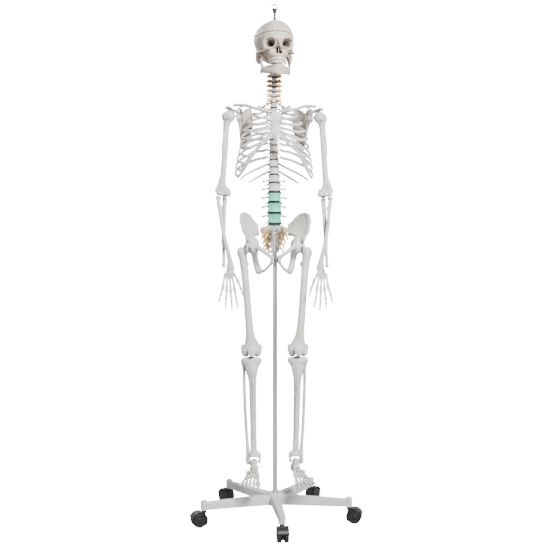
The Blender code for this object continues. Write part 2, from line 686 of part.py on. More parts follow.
def rib_cage():
    shape = Shape()
    breast = ((0, -24, 1419), (0, -26, 1408), (0, -31, 1394), (0, -37, 1374), (0, -44, 1352),
              (0, -49, 1338), (0, -50, 1330), (0, -51, 1321))
    wide = ((19, 5), (23, 5), (14, 4.5), (16, 4.5), (18, 4.5), (14, 4), (6, 3), (4, 2.5))
    shape.tube(breast, list(wide), (0, 1, 0), 14)
    for side in (-1, 1):
        for index, rib in enumerate(RIBS):
            points = [(side * p.x, p.y, p.z) for p in rib_path(index)]
            flat = (3.2, 5.2) if index else (5.2, 3.2)
            shape.tube(curve(points), flat, sides=8)
            end, front = Vector(rib[3]), Vector(rib[4])
            dip = Vector((0, 0, -3)) if index > 3 else Vector((0, 0, 0))
            middle = mix(end, front, 0.5) + dip + Vector((0, -3, 0))
            cartilage = [(side * p.x, p.y, p.z) for p in (end, middle, front)]
            shape.tube(curve(cartilage), (3.6, 5.4), sides=8)
    bone(shape, "rib_cage", 2.2, 2300, rounds=2)


def clavicle(label, side):
    shape = Shape(side)
    path = curve(((27, -27, 1427), (48, -37, 1428), (75, -30, 1435), (98, -14, 1446), (125, 3, 1452),
                  (144, 9, 1451)))
    sizes = [(6.5, 7)] * 3 + [(5.5, 5.5)] * 7 + [(6.5, 4.5)] * 6
    shape.tube(path, sizes, sides=10)
    bone(shape, f"clavicle_{label}", 2.2, 130, side=side)


def scapula(label, side):
    shape = Shape(side)
    rows = (
        ((106, 86, 1306), (107, 86, 1307), (108, 85, 1308), (109, 84, 1309)),
        ((92, 95, 1336), (102, 90, 1336), (110, 80, 1336), (116, 70, 1336)),
        ((80, 101, 1372), (94, 92, 1372), (108, 76, 1372), (119, 50, 1372)),
        ((74, 100, 1410), (92, 88, 1411), (110, 64, 1411), (126, 32, 1411)),
        ((77, 96, 1432), (90, 86, 1434), (106, 68, 1434), (116, 50, 1430)),
        ((82, 90, 1456), (88, 84, 1454), (100, 72, 1448), (108, 58, 1440)),
    )
    shape.sheet(rows, 5.5)
    shape.tube([row[-1] for row in rows[:4]], [4, 4.5, 5.5, 8])
    shape.tube([row[0] for row in rows], 3.5)
    shape.tube(((118, 46, 1410), (129, 18, 1412)), [9, 11])
    shape.ball((132, 16, 1412), (5, 13, 17), (0, 0, 20))
    ridge = ((76, 104, 1424), (96, 96, 1430), (118, 82, 1436), (140, 62, 1442), (160, 42, 1446),
             (166, 22, 1446), (163, 8, 1445))
    shape.tube(curve(ridge), [(2.6, 7)] * 8 + [(4, 6)] * 4 + [(8, 3.6)] * 7)
    shape.tube(curve(((118, 40, 1417), (118, 24, 1434), (126, 3, 1439), (133, -12, 1430))),
               [7, 6, 6, 5.5, 5.5, 5, 5, 5, 5, 4.5])
    obj = bone(shape, f"scapula_{label}", 2.4, 300, side=side)
    bore = Shape(side)
    bore.rod(SHOULDER - Vector((34, 0, 0)), SHOULDER, PIN_RADIUS + FIT, 12)
    cut(obj, bore, f"glenoid_bore_{label}")


# ---------------------------------------------------------------- ball joint pins and long bones
def ball_pin(name, centre, inward, side):
    """Bar from the socket to the middle of the ball, with a cross bar there."""
    shape = Shape(side)
    shape.rod(centre - Vector((inward, 0, 0)), centre, PIN_RADIUS, 12)
    obj = node(shape, name, "chrome", centre, side)
    bar = Shape(side)
    bar.rod(centre - Vector((0, 9, 0)), centre + Vector((0, 9, 0)), PIN_RADIUS, 12)
    join(obj, bar, f"{name}_bar")


def pin_slot(obj, name, centre, out_range, side):
    """Cross bore and slot in a ball, open towards the socket, so the bone can swing outwards."""
    reach = 40.0
    bore = Shape(side)
    bore.rod(centre - Vector((0, 9.6, 0)), centre + Vector((0, 9.6, 0)), PIN_RADIUS + FIT, 12)
    cut(obj, bore, f"{name}_bore")
    half = PIN_RADIUS + 1.2
    rise = reach * math.tan(math.radians(out_range))
    slot = Shape(side)
    outline = ((1.5, -half), (1.5, half), (-reach, half + rise + 2), (-reach, -half - 2))
    slot.skin([[centre + Vector((x, y, z)) for x, z in outline] for y in (-half, half)])
    cut(obj, slot, f"{name}_slot")


def humerus(label, side):
    shape = Shape(side)
    shape.ball(SHOULDER, 21, sides=18)
    shape.ball((174, 6, 1412), (11, 12, 15))
    shape.tube(curve(((166, 14, 1402), (171, 15, 1375), (175, 16, 1300), (181, 19, 1220), (185, 21, 1180),
                      (186, 21, 1160))),
               [16] * 2 + [13] * 2 + [11] * 8 + [(12, 9), (15, 8), (19, 7), (21, 6)], (0, 1, 0), 12)
    shape.ball((162, 24, 1154), (8, 6, 8))
    shape.ball((208, 22, 1153), (6, 6, 9))
    shape.tube(((164, 21, 1142), (172, 21, 1142), (184, 21, 1142), (190, 21, 1142)), [11, 8.5, 9.5, 9],
               (0, 0, 1), 12)
    shape.tube(((166, 21, 1152), (204, 21, 1152)), (4.5, 7))
    shape.ball((198, 20, 1143), (9, 9.5, 9.5))
    obj = bone(shape, f"humerus_{label}", 2.6, 320, SHOULDER, side)
    pin_slot(obj, f"humerus_{label}", SHOULDER, 30, side)


def ulna(label, side):
    shape = Shape(side)
    centre = Vector((176, 21, 1142))
    arc = []
    for degrees in (150, 175, 200, 225, 250, 275, 296):
        t = math.radians(degrees)
        arc.append(centre + Vector((0, -math.cos(t) * 18.5, math.sin(t) * 18.5)))
    shape.tube(arc, [(7, 4.5), (8, 6), (8, 6), (8, 6), (8, 6), (8, 5), (7, 3.5)], (0, 0.01, 1))
    shape.tube(curve(((176, 30, 1118), (177, 27, 1090), (179, 19, 1030), (181, 2, 960), (181, -20, 905),
                      ULNA_HEAD)),
               [9] * 2 + [8] * 3 + [7] * 5 + [6] * 3 + [7] * 3)
    bone(shape, f"ulna_{label}", 2.2, 240, ELBOW, side)


def radius(label, side):
    shape = Shape(side)
    shape.tube((RADIUS_HEAD + Vector((0, 0, 3.5)), RADIUS_HEAD - Vector((0, 0, 5))), 10, (0, 1, 0), 14)
    shape.tube(curve((RADIUS_HEAD, (198, 16, 1105), (194, 10, 1085), (187, -10, 1030), (174, -29, 965),
                      (160, -31, 905), (158, -28, 881))),
               [7] * 4 + [8] * 4 + [6.5] * 6 + [7] * 2 + [(11, 8), (14, 9), (14, 9)], (0, 1, 0))
    bone(shape, f"radius_{label}", 2.2, 200, RADIUS_HEAD, side)


# Hand: metacarpal base, knuckle, two finger joints and tip; thumb first.
FINGERS = (
    ((148, -33, 858), (137, -42, 836), (129, -48, 818), (123, -53, 796), (121, -54, 782)),
    ((154, -31, 854), (146, -37, 802), (142, -45, 774), (139, -47, 756), (137, -44, 742)),
    ((161, -31, 854), (158, -38, 798), (156, -47, 768), (155, -49, 749), (154, -45, 733)),
    ((168, -30, 854), (170, -37, 801), (172, -45, 773), (173, -46, 755), (174, -42, 740)),
    ((175, -29, 856), (182, -35, 808), (188, -41, 786), (191, -42, 772), (193, -39, 760)),
)


def hand(label, side):
    shape = Shape(side)
    shape.ball((161, -29, 869), (19, 8, 7))
    shape.ball((163, -30, 858), (20, 7.5, 8))
    for points in FINGERS:
        points = [Vector(p) for p in points]
        for start, end in zip(points, points[1:]):
            shape.tube((start, mix(start, end, 0.5), end), [4.6, 3.4, 4.6], (0, 1, 0), 8)
            shape.ball(end, 4.8 if end is not points[-1] else 3.6, sides=8)
    bone(shape, f"hand_{label}", 1.8, 560, WRIST, side, rounds=1)


def hip_bone(label, side):
    shape = Shape(side)
    rows = (
        ((97, -26, 978), (92, -4, 986), (80, 24, 998), (64, 46, 1000), (58, 62, 1002)),
        ((106, -34, 994), (104, -8, 1008), (92, 24, 1018), (72, 50, 1014), (58, 70, 1012)),
        ((112, -38, 1006), (116, -14, 1032), (106, 20, 1046), (82, 54, 1034), (58, 78, 1022)),
        ((113, -39, 1009), (121, -18, 1046), (116, 14, 1070), (92, 52, 1068), (60, 82, 1034)),
    )
    shape.sheet(rows, 5.5)
    shape.tube(curve(rows[-1]), 5.5)
    shape.tube(((97, -27, 976), (106, -35, 994), (113, -40, 1009)), [7, 5.5, 6])
    shape.tube(((58, 60, 1000), (58, 76, 1012), (59, 83, 1034)), [8, 7, 6])
    shape.ball((80, 6, 962), (24, 30, 30))
    shape.tube(curve(((88, -10, 980), (78, 10, 992), (64, 44, 1002))), (6, 9))
    pubis = ((70, -14, 958), (48, -30, 938), (26, -35, 922), (13, -32, 912))
    shape.tube(curve(pubis), [9] * 3 + [7] * 4 + [8] * 3)
    shape.ball((12, -30, 906), (8, 8, 15))
    ischium = ((72, 20, 940), (68, 34, 912), (62, 32, 882), (56, 24, 868))
    shape.tube(curve(ischium), [14] * 3 + [11] * 4 + [13] * 3)
    shape.tube(curve(((54, 18, 864), (38, -2, 870), (22, -20, 886), (12, -29, 900))), 6)
    shape.ball((62, 48, 925), (4, 8, 5))
    obj = node(shape, f"hip_bone_{label}", "bone")
    melt(obj, 2.8)
    cup = Shape(side)
    cup.ball(HIP + Vector((1.5, 0, -1)), 25.5, sides=18)
    cut(obj, cup, f"hip_cup_{label}")
    melt(obj, 2.5)
    soften(obj, 500, 2)
    bore = Shape(side)
    bore.rod(HIP - Vector((34, 0, 0)), HIP, PIN_RADIUS + FIT, 12)
    cut(obj, bore, f"hip_bore_{label}")


def femur(label, side):
    shape = Shape(side)
    shape.ball(HIP, 21, sides=18)
    shape.tube(curve((HIP, (103, 8, 943), (117, 12, 932))), [14, 13, 13, 14, 15, 16, 16], (0, 1, 0))
    shape.ball((123, 16, 938), (10, 14, 17))
    shape.ball((98, 22, 893), (8, 8, 12))
    shape.tube(curve(((113, 12, 920), (107, 5, 870), (100, -4, 790), (94, -7, 710), (88, -3, 645),
                      (84, 3, 610))),
               [15] * 2 + [14] * 4 + [13] * 6 + [14, (18, 14), (25, 16), (30, 18)], (0, 1, 0), 14)
    for x in (62, 103):
        shape.ball((x, 10, 586), (15, 22, 21.5), sides=16)
    shape.tube(((62, 0, 590), (103, 0, 590)), 15)
    obj = bone(shape, f"femur_{label}", 3.0, 320, HIP, side)
    pin_slot(obj, f"femur_{label}", HIP, 16, side)


def patella(label, side):
    shape = Shape(side)
    shape.ball((82, -24, 590), (18, 6.5, 19), sides=12)
    bone(shape, f"patella_{label}", 2.4, 90, side=side)


def tibia_fibula(label, side):
    shape = Shape(side)
    shape.tube(((82, 9, 560), (82, 9, 552), (82, 7, 536), (81, 4, 515)),
               [(36, 22), (36, 23), (28, 21), (18, 18)], (0, 1, 0), 16)
    shape.ball((81, -10, 530), (9, 8, 14))
    shape.tube(curve(((81, 4, 520), (79, 2, 470), (77, 5, 360), (75, 8, 260), (74, 8, 226), (74, 8, 217))),
               [17] * 3 + [13] * 4 + [11.5] * 5 + [13, (18, 14), (20, 16), (20, 16)], (0, 1, 0), 12)
    shape.tube(((56, 6, 222), (55, 6, 206), (55, 6, 194)), [8, 6, 4.5], (0, 1, 0))
    shape.tube(curve(((110, 24, 548), (108, 22, 520), (106, 18, 420), (100, 16, 300), (95, 14, 232),
                      (95, 13, 200), (94, 13, 188))),
               [9] * 2 + [7] * 3 + [6] * 7 + [7.5] * 5 + [6, 5], (0, 1, 0), 10)
    shape.tube(((95, 14, 226), (84, 11, 226)), 7)
    shape.tube(((108, 23, 546), (98, 18, 545)), 7)
    bone(shape, f"tibia_fibula_{label}", 2.8, 400, KNEE, side)


# Foot, from the ankle, forward is -y: metatarsal base, head, two toe joints and tip; big toe first.
TOES = (
    ((-15, -62, -40), (-22, -118, -56), (-23, -138, -57), (-24, -152, -59), (-24, -160, -60)),
    ((-6, -66, -36), (-8, -124, -55), (-8, -140, -57), (-8, -150, -59), (-8, -158, -60)),
    ((4, -64, -38), (6, -117, -56), (7, -133, -57), (8, -143, -59), (8, -150, -60)),
    ((14, -59, -42), (20, -107, -57), (22, -122, -58), (23, -131, -60), (24, -138, -60)),
    ((22, -50, -47), (34, -94, -58), (37, -107, -59), (39, -115, -60), (40, -121, -60)),
)


def foot(label, side):
    turn = Matrix.Translation(ANKLE) @ Matrix.Rotation(FOOT_TURN, 4, "Z")
    shape = Shape(side, turn)
    shape.ball((0, -2, -8), (12, 19, 15))
    shape.ball((-4, -26, -20), (13, 15, 12))
    shape.ball((2, 24, -34), (14, 30, 16), (14, 0, 0))
    shape.ball((1, 2, -24), (15, 22, 12))
    shape.ball((14, -38, -42), (13, 22, 9))
    shape.ball((-5, -46, -32), (19, 18, 11))
    for points in TOES:
        points = [Vector(p) for p in points]
        big = points[0].x < -12
        for index, (start, end) in enumerate(zip(points, points[1:])):
            knob = 7.0 if big else 5.0
            knob = knob if index < 2 else knob * 0.85
            shape.tube((start, mix(start, end, 0.5), end), [knob, knob * 0.75, knob], (0, 0, 1), 8)
            shape.ball(end, knob, sides=8)
    bone(shape, f"foot_{label}", 2.4, 440, ANKLE, side, rounds=1)


# ---------------------------------------------------------------- the whole model
for old in list(bpy.data.objects):
    bpy.data.objects.remove(old)

base_frame()
lock_screw()
pole()
for number, direction in enumerate(ARM_ANGLES):
    caster(number + 1, direction)

eye_hook()
skull_cap()
cranium()
mandible()
atlas()
axis_bone()
for row in CERVICAL:
    cervical(*row)
thoracic_spine()
for row in LUMBAR:
    lumbar(*row)
sacrum()
rib_cage()

for label, side in (("left", 1), ("right", -1)):
    clavicle(label, side)
    scapula(label, side)
    ball_pin(f"shoulder_pin_{label}", SHOULDER, 31, side)
    humerus(label, side)
    ulna(label, side)
    radius(label, side)
    hand(label, side)
    hip_bone(label, side)
    ball_pin(f"hip_pin_{label}", HIP, 30, side)
    femur(label, side)
    patella(label, side)
    tibia_fibula(label, side)
    foot(label, side)
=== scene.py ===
"""Looks of a life-size human skeleton model on a pole and a five-arm roller stand.

Bones are signed distance fields in millimetres from the pole's axis on the floor, with the
figure facing -Y and its left side on +X. They are meshed on a grid and moved to the frame.
"""
import math
from contextlib import contextmanager

import bpy
import numpy as np
from mathutils import Euler, Matrix, Vector
from mathutils.bvhtree import BVHTree


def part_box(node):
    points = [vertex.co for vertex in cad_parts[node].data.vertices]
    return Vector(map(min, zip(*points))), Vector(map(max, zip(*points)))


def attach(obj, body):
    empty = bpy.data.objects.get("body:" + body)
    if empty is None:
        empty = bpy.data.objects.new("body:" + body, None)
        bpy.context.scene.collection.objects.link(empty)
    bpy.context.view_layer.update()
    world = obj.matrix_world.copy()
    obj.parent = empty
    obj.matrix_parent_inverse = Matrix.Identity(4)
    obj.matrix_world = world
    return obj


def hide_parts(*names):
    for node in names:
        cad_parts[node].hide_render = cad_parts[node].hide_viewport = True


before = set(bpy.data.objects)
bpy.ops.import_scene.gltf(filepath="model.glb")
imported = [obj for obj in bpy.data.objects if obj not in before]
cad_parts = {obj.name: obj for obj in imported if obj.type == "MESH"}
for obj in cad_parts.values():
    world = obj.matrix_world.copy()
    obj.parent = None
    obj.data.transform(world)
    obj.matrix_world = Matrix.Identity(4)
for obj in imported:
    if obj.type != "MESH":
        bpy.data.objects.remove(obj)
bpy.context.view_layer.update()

MM = 0.001
FAR = 1e6  # distance where a bone has no shape near
COLLAR_RADIUS = 10.5
POLE_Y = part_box("pole")[0].y / MM + COLLAR_RADIUS  # the pole's axis in the frame
UP, BACK, ACROSS = (0, 0, 1), (0, 1, 0), (1, 0, 0)
FLIP = np.array((-1, 1, 1))
RIPPLE_LENGTHS = np.array((3.1, 3.7, 4.3))


# ---- distance fields
def soft_min(a, b, k):
    """Union of two distances with a fillet of about k."""
    if k <= 0:
        return np.minimum(a, b)
    h = np.maximum(k - np.abs(a - b), 0) / k
    return np.minimum(a, b) - h * h * k * 0.25


def turned(turn):
    """Rotation matrix from Euler angles in degrees."""
    return np.array(Euler([math.radians(t) for t in turn]).to_matrix(), float)


def oval(q, radii):
    """Near distance from points to an ellipsoid about the origin."""
    near = np.linalg.norm(q / radii, axis=1)
    slope = np.linalg.norm(q / (radii * radii), axis=1)
    return near * (near - 1) / np.maximum(slope, 1e-6)


def placed(center, turn, reach, local):
    """Shape from a distance field in its own turned frame about its centre."""
    c = np.array(center, float)
    rotation = turned(turn)
    return (lambda p, pad: local((p - c) @ rotation)), c - reach, c + reach


def outside(gaps, edge):
    """Rounded distance from the gap to each of a shape's faces, one column for each."""
    return np.linalg.norm(np.maximum(gaps, 0), axis=1) + np.minimum(gaps.max(axis=1), 0) - edge


def ball(center, radii, turn=(0, 0, 0)):
    """Ellipsoid."""
    r = np.array(radii if isinstance(radii, tuple) else (radii,) * 3, float)
    return placed(center, turn, r.max(), lambda q: oval(q, r))


def brick(center, size, turn=(0, 0, 0), edge=1.0):
    """Box of full size with rounded edges."""
    half = np.array(size, float) / 2 - edge
    return placed(center, turn, np.linalg.norm(half) + edge, lambda q: outside(np.abs(q) - half, edge))


def drum(center, radii, height, waist, edge, turn=(0, 0, 0)):
    """Short oval cylinder along its own z, drawn in at mid height by `waist`."""
    a, b = radii if isinstance(radii, tuple) else (radii, radii)
    half = height / 2

    def local(q):
        level = np.clip(q[:, 2] / half, -1, 1)
        shrink = waist * (1 - level * level)
        ra, rb = a - shrink, b - shrink
        k0 = np.hypot(q[:, 0] / ra, q[:, 1] / rb) + 1e-9
        k1 = np.hypot(q[:, 0] / ra ** 2, q[:, 1] / rb ** 2) + 1e-9
        wall = np.where(k0 < 0.2, -min(a, b) * 0.8, k0 * (k0 - 1) / k1) + edge
        return outside(np.column_stack([wall, np.abs(q[:, 2]) - half + edge]), edge)
    return placed(center, turn, math.hypot(max(a, b), half), local)


def ring(center, radius, thickness, turn=(0, 0, 0)):
    """Round ring about its own z."""
    def local(q):
        return np.hypot(np.hypot(q[:, 0], q[:, 1]) - radius, q[:, 2]) - thickness
    return placed(center, turn, radius + thickness, local)


def spline(points, steps):
    """Smooth curve through control points."""
    pts = np.array(points, float)
    ends = np.vstack([2 * pts[0] - pts[1], pts, 2 * pts[-1] - pts[-2]])
    out = []
    for i in range(len(pts) - 1):
        a, b, c, d = ends[i:i + 4]
        for k in range(steps):
            t = k / steps
            out.append(0.5 * (2 * b + (c - a) * t + (2 * a - 5 * b + 4 * c - d) * t * t
                              + (3 * b - a - 3 * c + d) * t ** 3))
    out.append(pts[-1])
    return np.array(out)


def spread(sizes, count):
    """Sizes spread evenly over count points, as rows of (half width, half height)."""
    sizes = sizes if isinstance(sizes, list) else [sizes]
    pairs = np.array([s if isinstance(s, tuple) else (s, s) for s in sizes], float)
    at = np.linspace(0, len(pairs) - 1, count)
    return np.stack([np.interp(at, np.arange(len(pairs)), pairs[:, k]) for k in (0, 1)], axis=1)


def sweep(points, sizes, height=UP, steps=3):
    """Tube along a smooth curve; a size is a radius or (half width, half height along `height`)."""
    path = spline(points, steps) if steps > 1 else np.array(points, float)
    size = spread(sizes, len(path))

    def field(p, pad):
        best = np.full(len(p), FAR)
        for i in range(len(path) - 1):
            a, b = path[i], path[i + 1]
            length = np.linalg.norm(b - a) + 1e-9
            along = (b - a) / length
            reach = length / 2 + size[i:i + 2].max() + pad
            near = np.nonzero((np.abs(p - (a + b) / 2) < reach).all(axis=1))[0]
            if not len(near):
                continue
            up = np.array(height if abs(along @ np.array(height)) < 0.95 else BACK, float)
            wide = np.cross(along, up)
            wide /= np.linalg.norm(wide) + 1e-9
            off = p[near] - a
            t = np.clip(off @ along / length, 0, 1)[:, None]
            off = off - t * (b - a)
            radii = size[i] + (size[i + 1] - size[i]) * t
            thin = radii.min(axis=1)
            local = np.stack([off @ wide, off @ np.cross(wide, along), off @ along], axis=1)
            radii = np.column_stack([radii, thin])
            k0 = np.linalg.norm(local / radii, axis=1) + 1e-9
            k1 = np.linalg.norm(local / radii ** 2, axis=1) + 1e-9
            d = np.where(k0 < 0.2, thin * (k0 - 1), k0 * (k0 - 1) / k1)
            best[near] = np.minimum(best[near], d)
        return best
    reach = size.max(axis=1)[:, None]
    return field, (path - reach).min(axis=0), (path + reach).max(axis=0)


def rod(start, end, radius, height=UP):
    """Straight tube between two points."""
    return sweep((start, end), radius, height, 1)


def plate(rows, thickness, steps=3):
    """Bent plate through a grid of points; thickness is one value or one for each row."""
    grid = np.array([spline(row, steps) for row in rows])
    grid = np.array([spline(grid[:, c], steps) for c in range(grid.shape[1])]).transpose(1, 0, 2)
    high, wide = grid.shape[:2]
    verts = [tuple(v) for v in grid.reshape(-1, 3)]
    faces = []
    for r in range(high - 1):
        for c in range(wide - 1):
            k = r * wide + c
            faces += [(k, k + 1, k + wide + 1), (k, k + wide + 1, k + wide)]
    tree = BVHTree.FromPolygons(verts, faces)
    thick = spread(thickness, high)[:, 0] / 2
    per_face = np.repeat((thick[:-1] + thick[1:]) / 2, (wide - 1) * 2)

    def field(p, pad):
        out = np.empty(len(p))
        for i, q in enumerate(p.tolist()):
            hit = tree.find_nearest(q)
            out[i] = hit[3] - per_face[hit[2]]
        return out
    reach = thick.max()
    return field, grid.reshape(-1, 3).min(axis=0) - reach, grid.reshape(-1, 3).max(axis=0) + reach


def across(shape):
    """The same shape on the figure's other side."""
    field, low, high = shape
    ends = np.array((low, high)) * FLIP
    return (lambda p, pad: field(p * FLIP, pad)), ends.min(axis=0), ends.max(axis=0)


class Bone:
    """Shapes joined and cut one after the other, with a faint cast ripple over the whole."""

    def __init__(self, fillet=4.0, ripple=0.18):
        self.fillet, self.ripple, self.steps = fillet, ripple, []

    def add(self, shape, fillet=None):
        self.steps.append((1, shape, self.fillet if fillet is None else fillet))

    def cut(self, shape, fillet):
        self.steps.append((-1, shape, fillet))

    @contextmanager
    def both_sides(self):
        """Steps taken inside are taken again on the figure's other side."""
        first = len(self.steps)
        yield
        self.steps += [(kind, across(shape), fillet) for kind, shape, fillet in self.steps[first:]]

    def shape(self):
        """This bone as one shape of another."""
        return self.field, *self.bounds()

    def bounds(self):
        added = [shape for kind, shape, _ in self.steps if kind > 0]
        return np.min([s[1] for s in added], axis=0) - 3, np.max([s[2] for s in added], axis=0) + 3

    def field(self, p, cell):
        total = np.full(len(p), FAR)
        for kind, (shape, low, high), k in self.steps:
            pad = cell * 1.4 + k + 2
            near = np.nonzero(((p > low - pad) & (p < high + pad)).all(axis=1))[0]
            if len(near):
                d, old = shape(p[near], pad), total[near]
                total[near] = soft_min(old, d, k) if kind > 0 else -soft_min(-old, d, k)
        if self.ripple:
            total = total + self.ripple * np.sin(p / RIPPLE_LENGTHS).prod(axis=1)
        return total


# ---- meshing a field
CORNERS = np.array([(x, y, z) for z in (0, 1) for y in (0, 1) for x in (0, 1)])
EDGES = [(a, b) for a in range(8) for b in range(a + 1, 8) if bin(a ^ b).count("1") == 1]
LEVELS = 3  # times the first coarse cells are halved


def key_of(cells):
    """One whole number for each cell."""
    c = cells.astype(np.int64) + 4096
    return (c[:, 0] * 8192 + c[:, 1]) * 8192 + c[:, 2]


def surface(bone, step):
    """Points and quads on the zero level of a distance field, on a grid of the given step."""
    low, high = bone.bounds()
    size = step * 2 ** LEVELS
    count = np.ceil((high - low) / size).astype(int) + 1
    cells = np.stack(np.meshgrid(*[np.arange(n) for n in count], indexing="ij"), axis=-1).reshape(-1, 3)
    for level in range(LEVELS, -1, -1):
        size = step * 2 ** level
        d = bone.field(low + (cells + 0.5) * size, size)
        cells = cells[np.abs(d) < size * 1.25 + 0.5]
        if level:
            cells = (cells[:, None] * 2 + CORNERS).reshape(-1, 3)
    corner = (cells[:, None] + CORNERS).reshape(-1, 3)
    _, first, back = np.unique(key_of(corner), return_index=True, return_inverse=True)
    value = bone.field(low + corner[first] * step, step)[back].reshape(-1, 8)
    inside = value < 0
    mixed = inside.any(axis=1) & ~inside.all(axis=1)
    cells, value, inside = cells[mixed], value[mixed], inside[mixed]
    total, crossings = np.zeros((len(cells), 3)), np.zeros(len(cells))
    for a, b in EDGES:
        hit = inside[:, a] != inside[:, b]
        t = value[hit, a] / (value[hit, a] - value[hit, b])
        total[hit] += CORNERS[a] + (CORNERS[b] - CORNERS[a]) * t[:, None]
        crossings[hit] += 1
    points = low + (cells + total / crossings[:, None]) * step
    cell_key = key_of(cells)
    order = np.argsort(cell_key)
    ranked = cell_key[order]
    quads = []
    for axis in range(3):
        one, two = (axis + 1) % 3, (axis + 2) % 3
        far = 1 << axis
        crossing = np.nonzero(inside[:, 0] != inside[:, far])[0]
        around = []
        for shift_one, shift_two in ((0, 0), (1, 0), (1, 1), (0, 1)):
            neighbour = cells[crossing].copy()
            neighbour[:, one] -= shift_one
            neighbour[:, two] -= shift_two
            k = key_of(neighbour)
            at = np.minimum(np.searchsorted(ranked, k), len(ranked) - 1)
            around.append(np.where(ranked[at] == k, order[at], -1))
        quad = np.stack(around, axis=1)
        outward = inside[crossing, 0]
        quad[~outward] = quad[~outward][:, ::-1]
        quads.append(quad[(quad >= 0).all(axis=1)])
    return points, np.concatenate(quads)


def settled(bone, points):
    """The points moved onto the zero level, for polished surfaces."""
    nudge = 0.05
    here = bone.field(points, 1.0)
    ahead = [bone.field(points + step, 1.0) for step in np.eye(3) * nudge]
    slope = (np.stack(ahead, axis=1) - here[:, None]) / nudge
    return points - (here / np.maximum((slope * slope).sum(axis=1), 0.2))[:, None] * slope


def moved(shell, place):
    """The shell carried by a matrix."""
    points, faces = shell
    m = np.array(place, float)
    return points @ m[:3, :3].T + m[:3, 3], faces


def solid(bone, step, place=None, polished=False):
    """Meshed bone in figure millimetres: points and quads."""
    points, faces = surface(bone, step)
    if polished:
        points = settled(bone, settled(bone, points))
    return moved((points, faces), place) if place is not None else (points, faces)


def lathe(profile):
    """Closed round solid about the pole's axis from (z, radius) rows, bottom to top."""
    turns = 48
    angle = np.arange(turns) * 2 * math.pi / turns
    rings = [np.column_stack([r * np.cos(angle), r * np.sin(angle), np.full(turns, z)]) for z, r in profile]
    faces = []
    for row in range(len(profile) - 1):
        for i in range(turns):
            j = (i + 1) % turns
            faces.append((row * turns + i, row * turns + j, (row + 1) * turns + j, (row + 1) * turns + i))
    last = (len(profile) - 1) * turns
    for i in range(turns // 2 - 1):
        across, after = turns - 1 - i, turns - 2 - i
        faces.append((i, across, after, i + 1))
        faces.append((last + i, last + i + 1, last + after, last + across))
    return np.concatenate(rings), np.array(faces)


def mirror(shell):
    """The same shell on the figure's other side."""
    points, faces = shell
    return points * FLIP, faces[:, ::-1]


def piece(name, body, parts, nodes=()):
    """One object from (material, shell) parts, riding a body and standing for CAD nodes."""
    materials, points, faces, kinds, start = [], [], [], [], 0
    for material, (p, f) in parts:
        if material not in materials:
            materials.append(material)
        points.append(p)
        faces.append(f + start)
        kinds.append(np.full(len(f), materials.index(material), np.int32))
        start += len(p)
    world = (np.concatenate(points) + (0, POLE_Y, 0)) * MM
    mesh = bpy.data.meshes.new(name)
    mesh.from_pydata(world, [], np.concatenate(faces))
    mesh.shade_smooth()
    for material in materials:
        mesh.materials.append(material)
    mesh.polygons.foreach_set("material_index", np.concatenate(kinds))
    obj = bpy.data.objects.new(name, mesh)
    bpy.context.collection.objects.link(obj)
    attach(obj, body)
    if nodes:
        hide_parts(*nodes)
    return obj


# ---- materials
def srgb(red, green, blue):
    """Linear colour from 0..255 screen values."""
    return [((c / 255 + 0.055) / 1.055) ** 2.4 for c in (red, green, blue)] + [1.0]


def feed(tree, socket, value):
    """Link a socket's value, or set a plain one."""
    if isinstance(value, bpy.types.NodeSocket):
        tree.links.new(value, socket)
    else:
        socket.default_value = value


class Paint:
    """A material under construction, with short calls for its nodes."""

    def __init__(self, name):
        self.material = bpy.data.materials.new(name)
        self.material.use_nodes = True
        self.tree = self.material.node_tree
        self.space = self.node("TexCoord").outputs["Object"]

    def node(self, kind, **inputs):
        """New node with its inputs fed by name, an underscore for a space."""
        node = self.tree.nodes.new("ShaderNode" + kind)
        for name, value in inputs.items():
            feed(self.tree, node.inputs[name.replace("_", " ")], value)
        return node

    def noise(self, scale, detail, rough=0.5):
        node = self.node("TexNoise", Scale=scale, Detail=detail, Roughness=rough, Vector=self.space)
        return node.outputs["Fac"]

    def ramp(self, value, *stops):
        node = self.node("ValToRGB", Fac=value)
        elements = node.color_ramp.elements
        while len(elements) < len(stops):
            elements.new(0.5)
        for element, (place, colour) in zip(elements, stops):
            element.position = place
            element.color = colour
        return node.outputs["Color"]

    def blend(self, factor, first, second):
        node = self.node("Mix")
        node.data_type = "RGBA"
        for value, socket in ((factor, 0), (first, 6), (second, 7)):
            feed(self.tree, node.inputs[socket], value)
        return node.outputs[2]

    def span(self, value, low, high, start=0.0, end=1.0):
        node = self.node("MapRange", From_Min=start, From_Max=end, To_Min=low, To_Max=high, Value=value)
        return node.outputs["Result"]

    def crease_shade_mask(self):
        """Mask of painted shade: 1 in creases, 0 on ridges and flats."""
        return self.span(self.node("NewGeometry").outputs["Pointiness"], 1.0, 0.0, 0.42, 0.50)

    def occlusion_shade_mask(self, reach):
        """Mask of painted shade from ambient occlusion: 1 far inside recesses and gaps, 0 in the open."""
        shelter = self.node("AmbientOcclusion", Distance=reach)
        shelter.samples = 6
        return self.span(shelter.outputs["AO"], 1.0, 0.0, 0.12, 0.80)

    def finish(self, colour, roughness, grain, strength, depth, metal=0.0):
        bump = self.node("Bump", Strength=strength, Distance=depth, Height=grain)
        shader = self.tree.nodes["Principled BSDF"].inputs
        looks = {"Base Color": colour, "Roughness": roughness, "Metallic": metal,
                 "Normal": bump.outputs["Normal"]}
        for name, value in looks.items():
            feed(self.tree, shader[name], value)
        return self.material


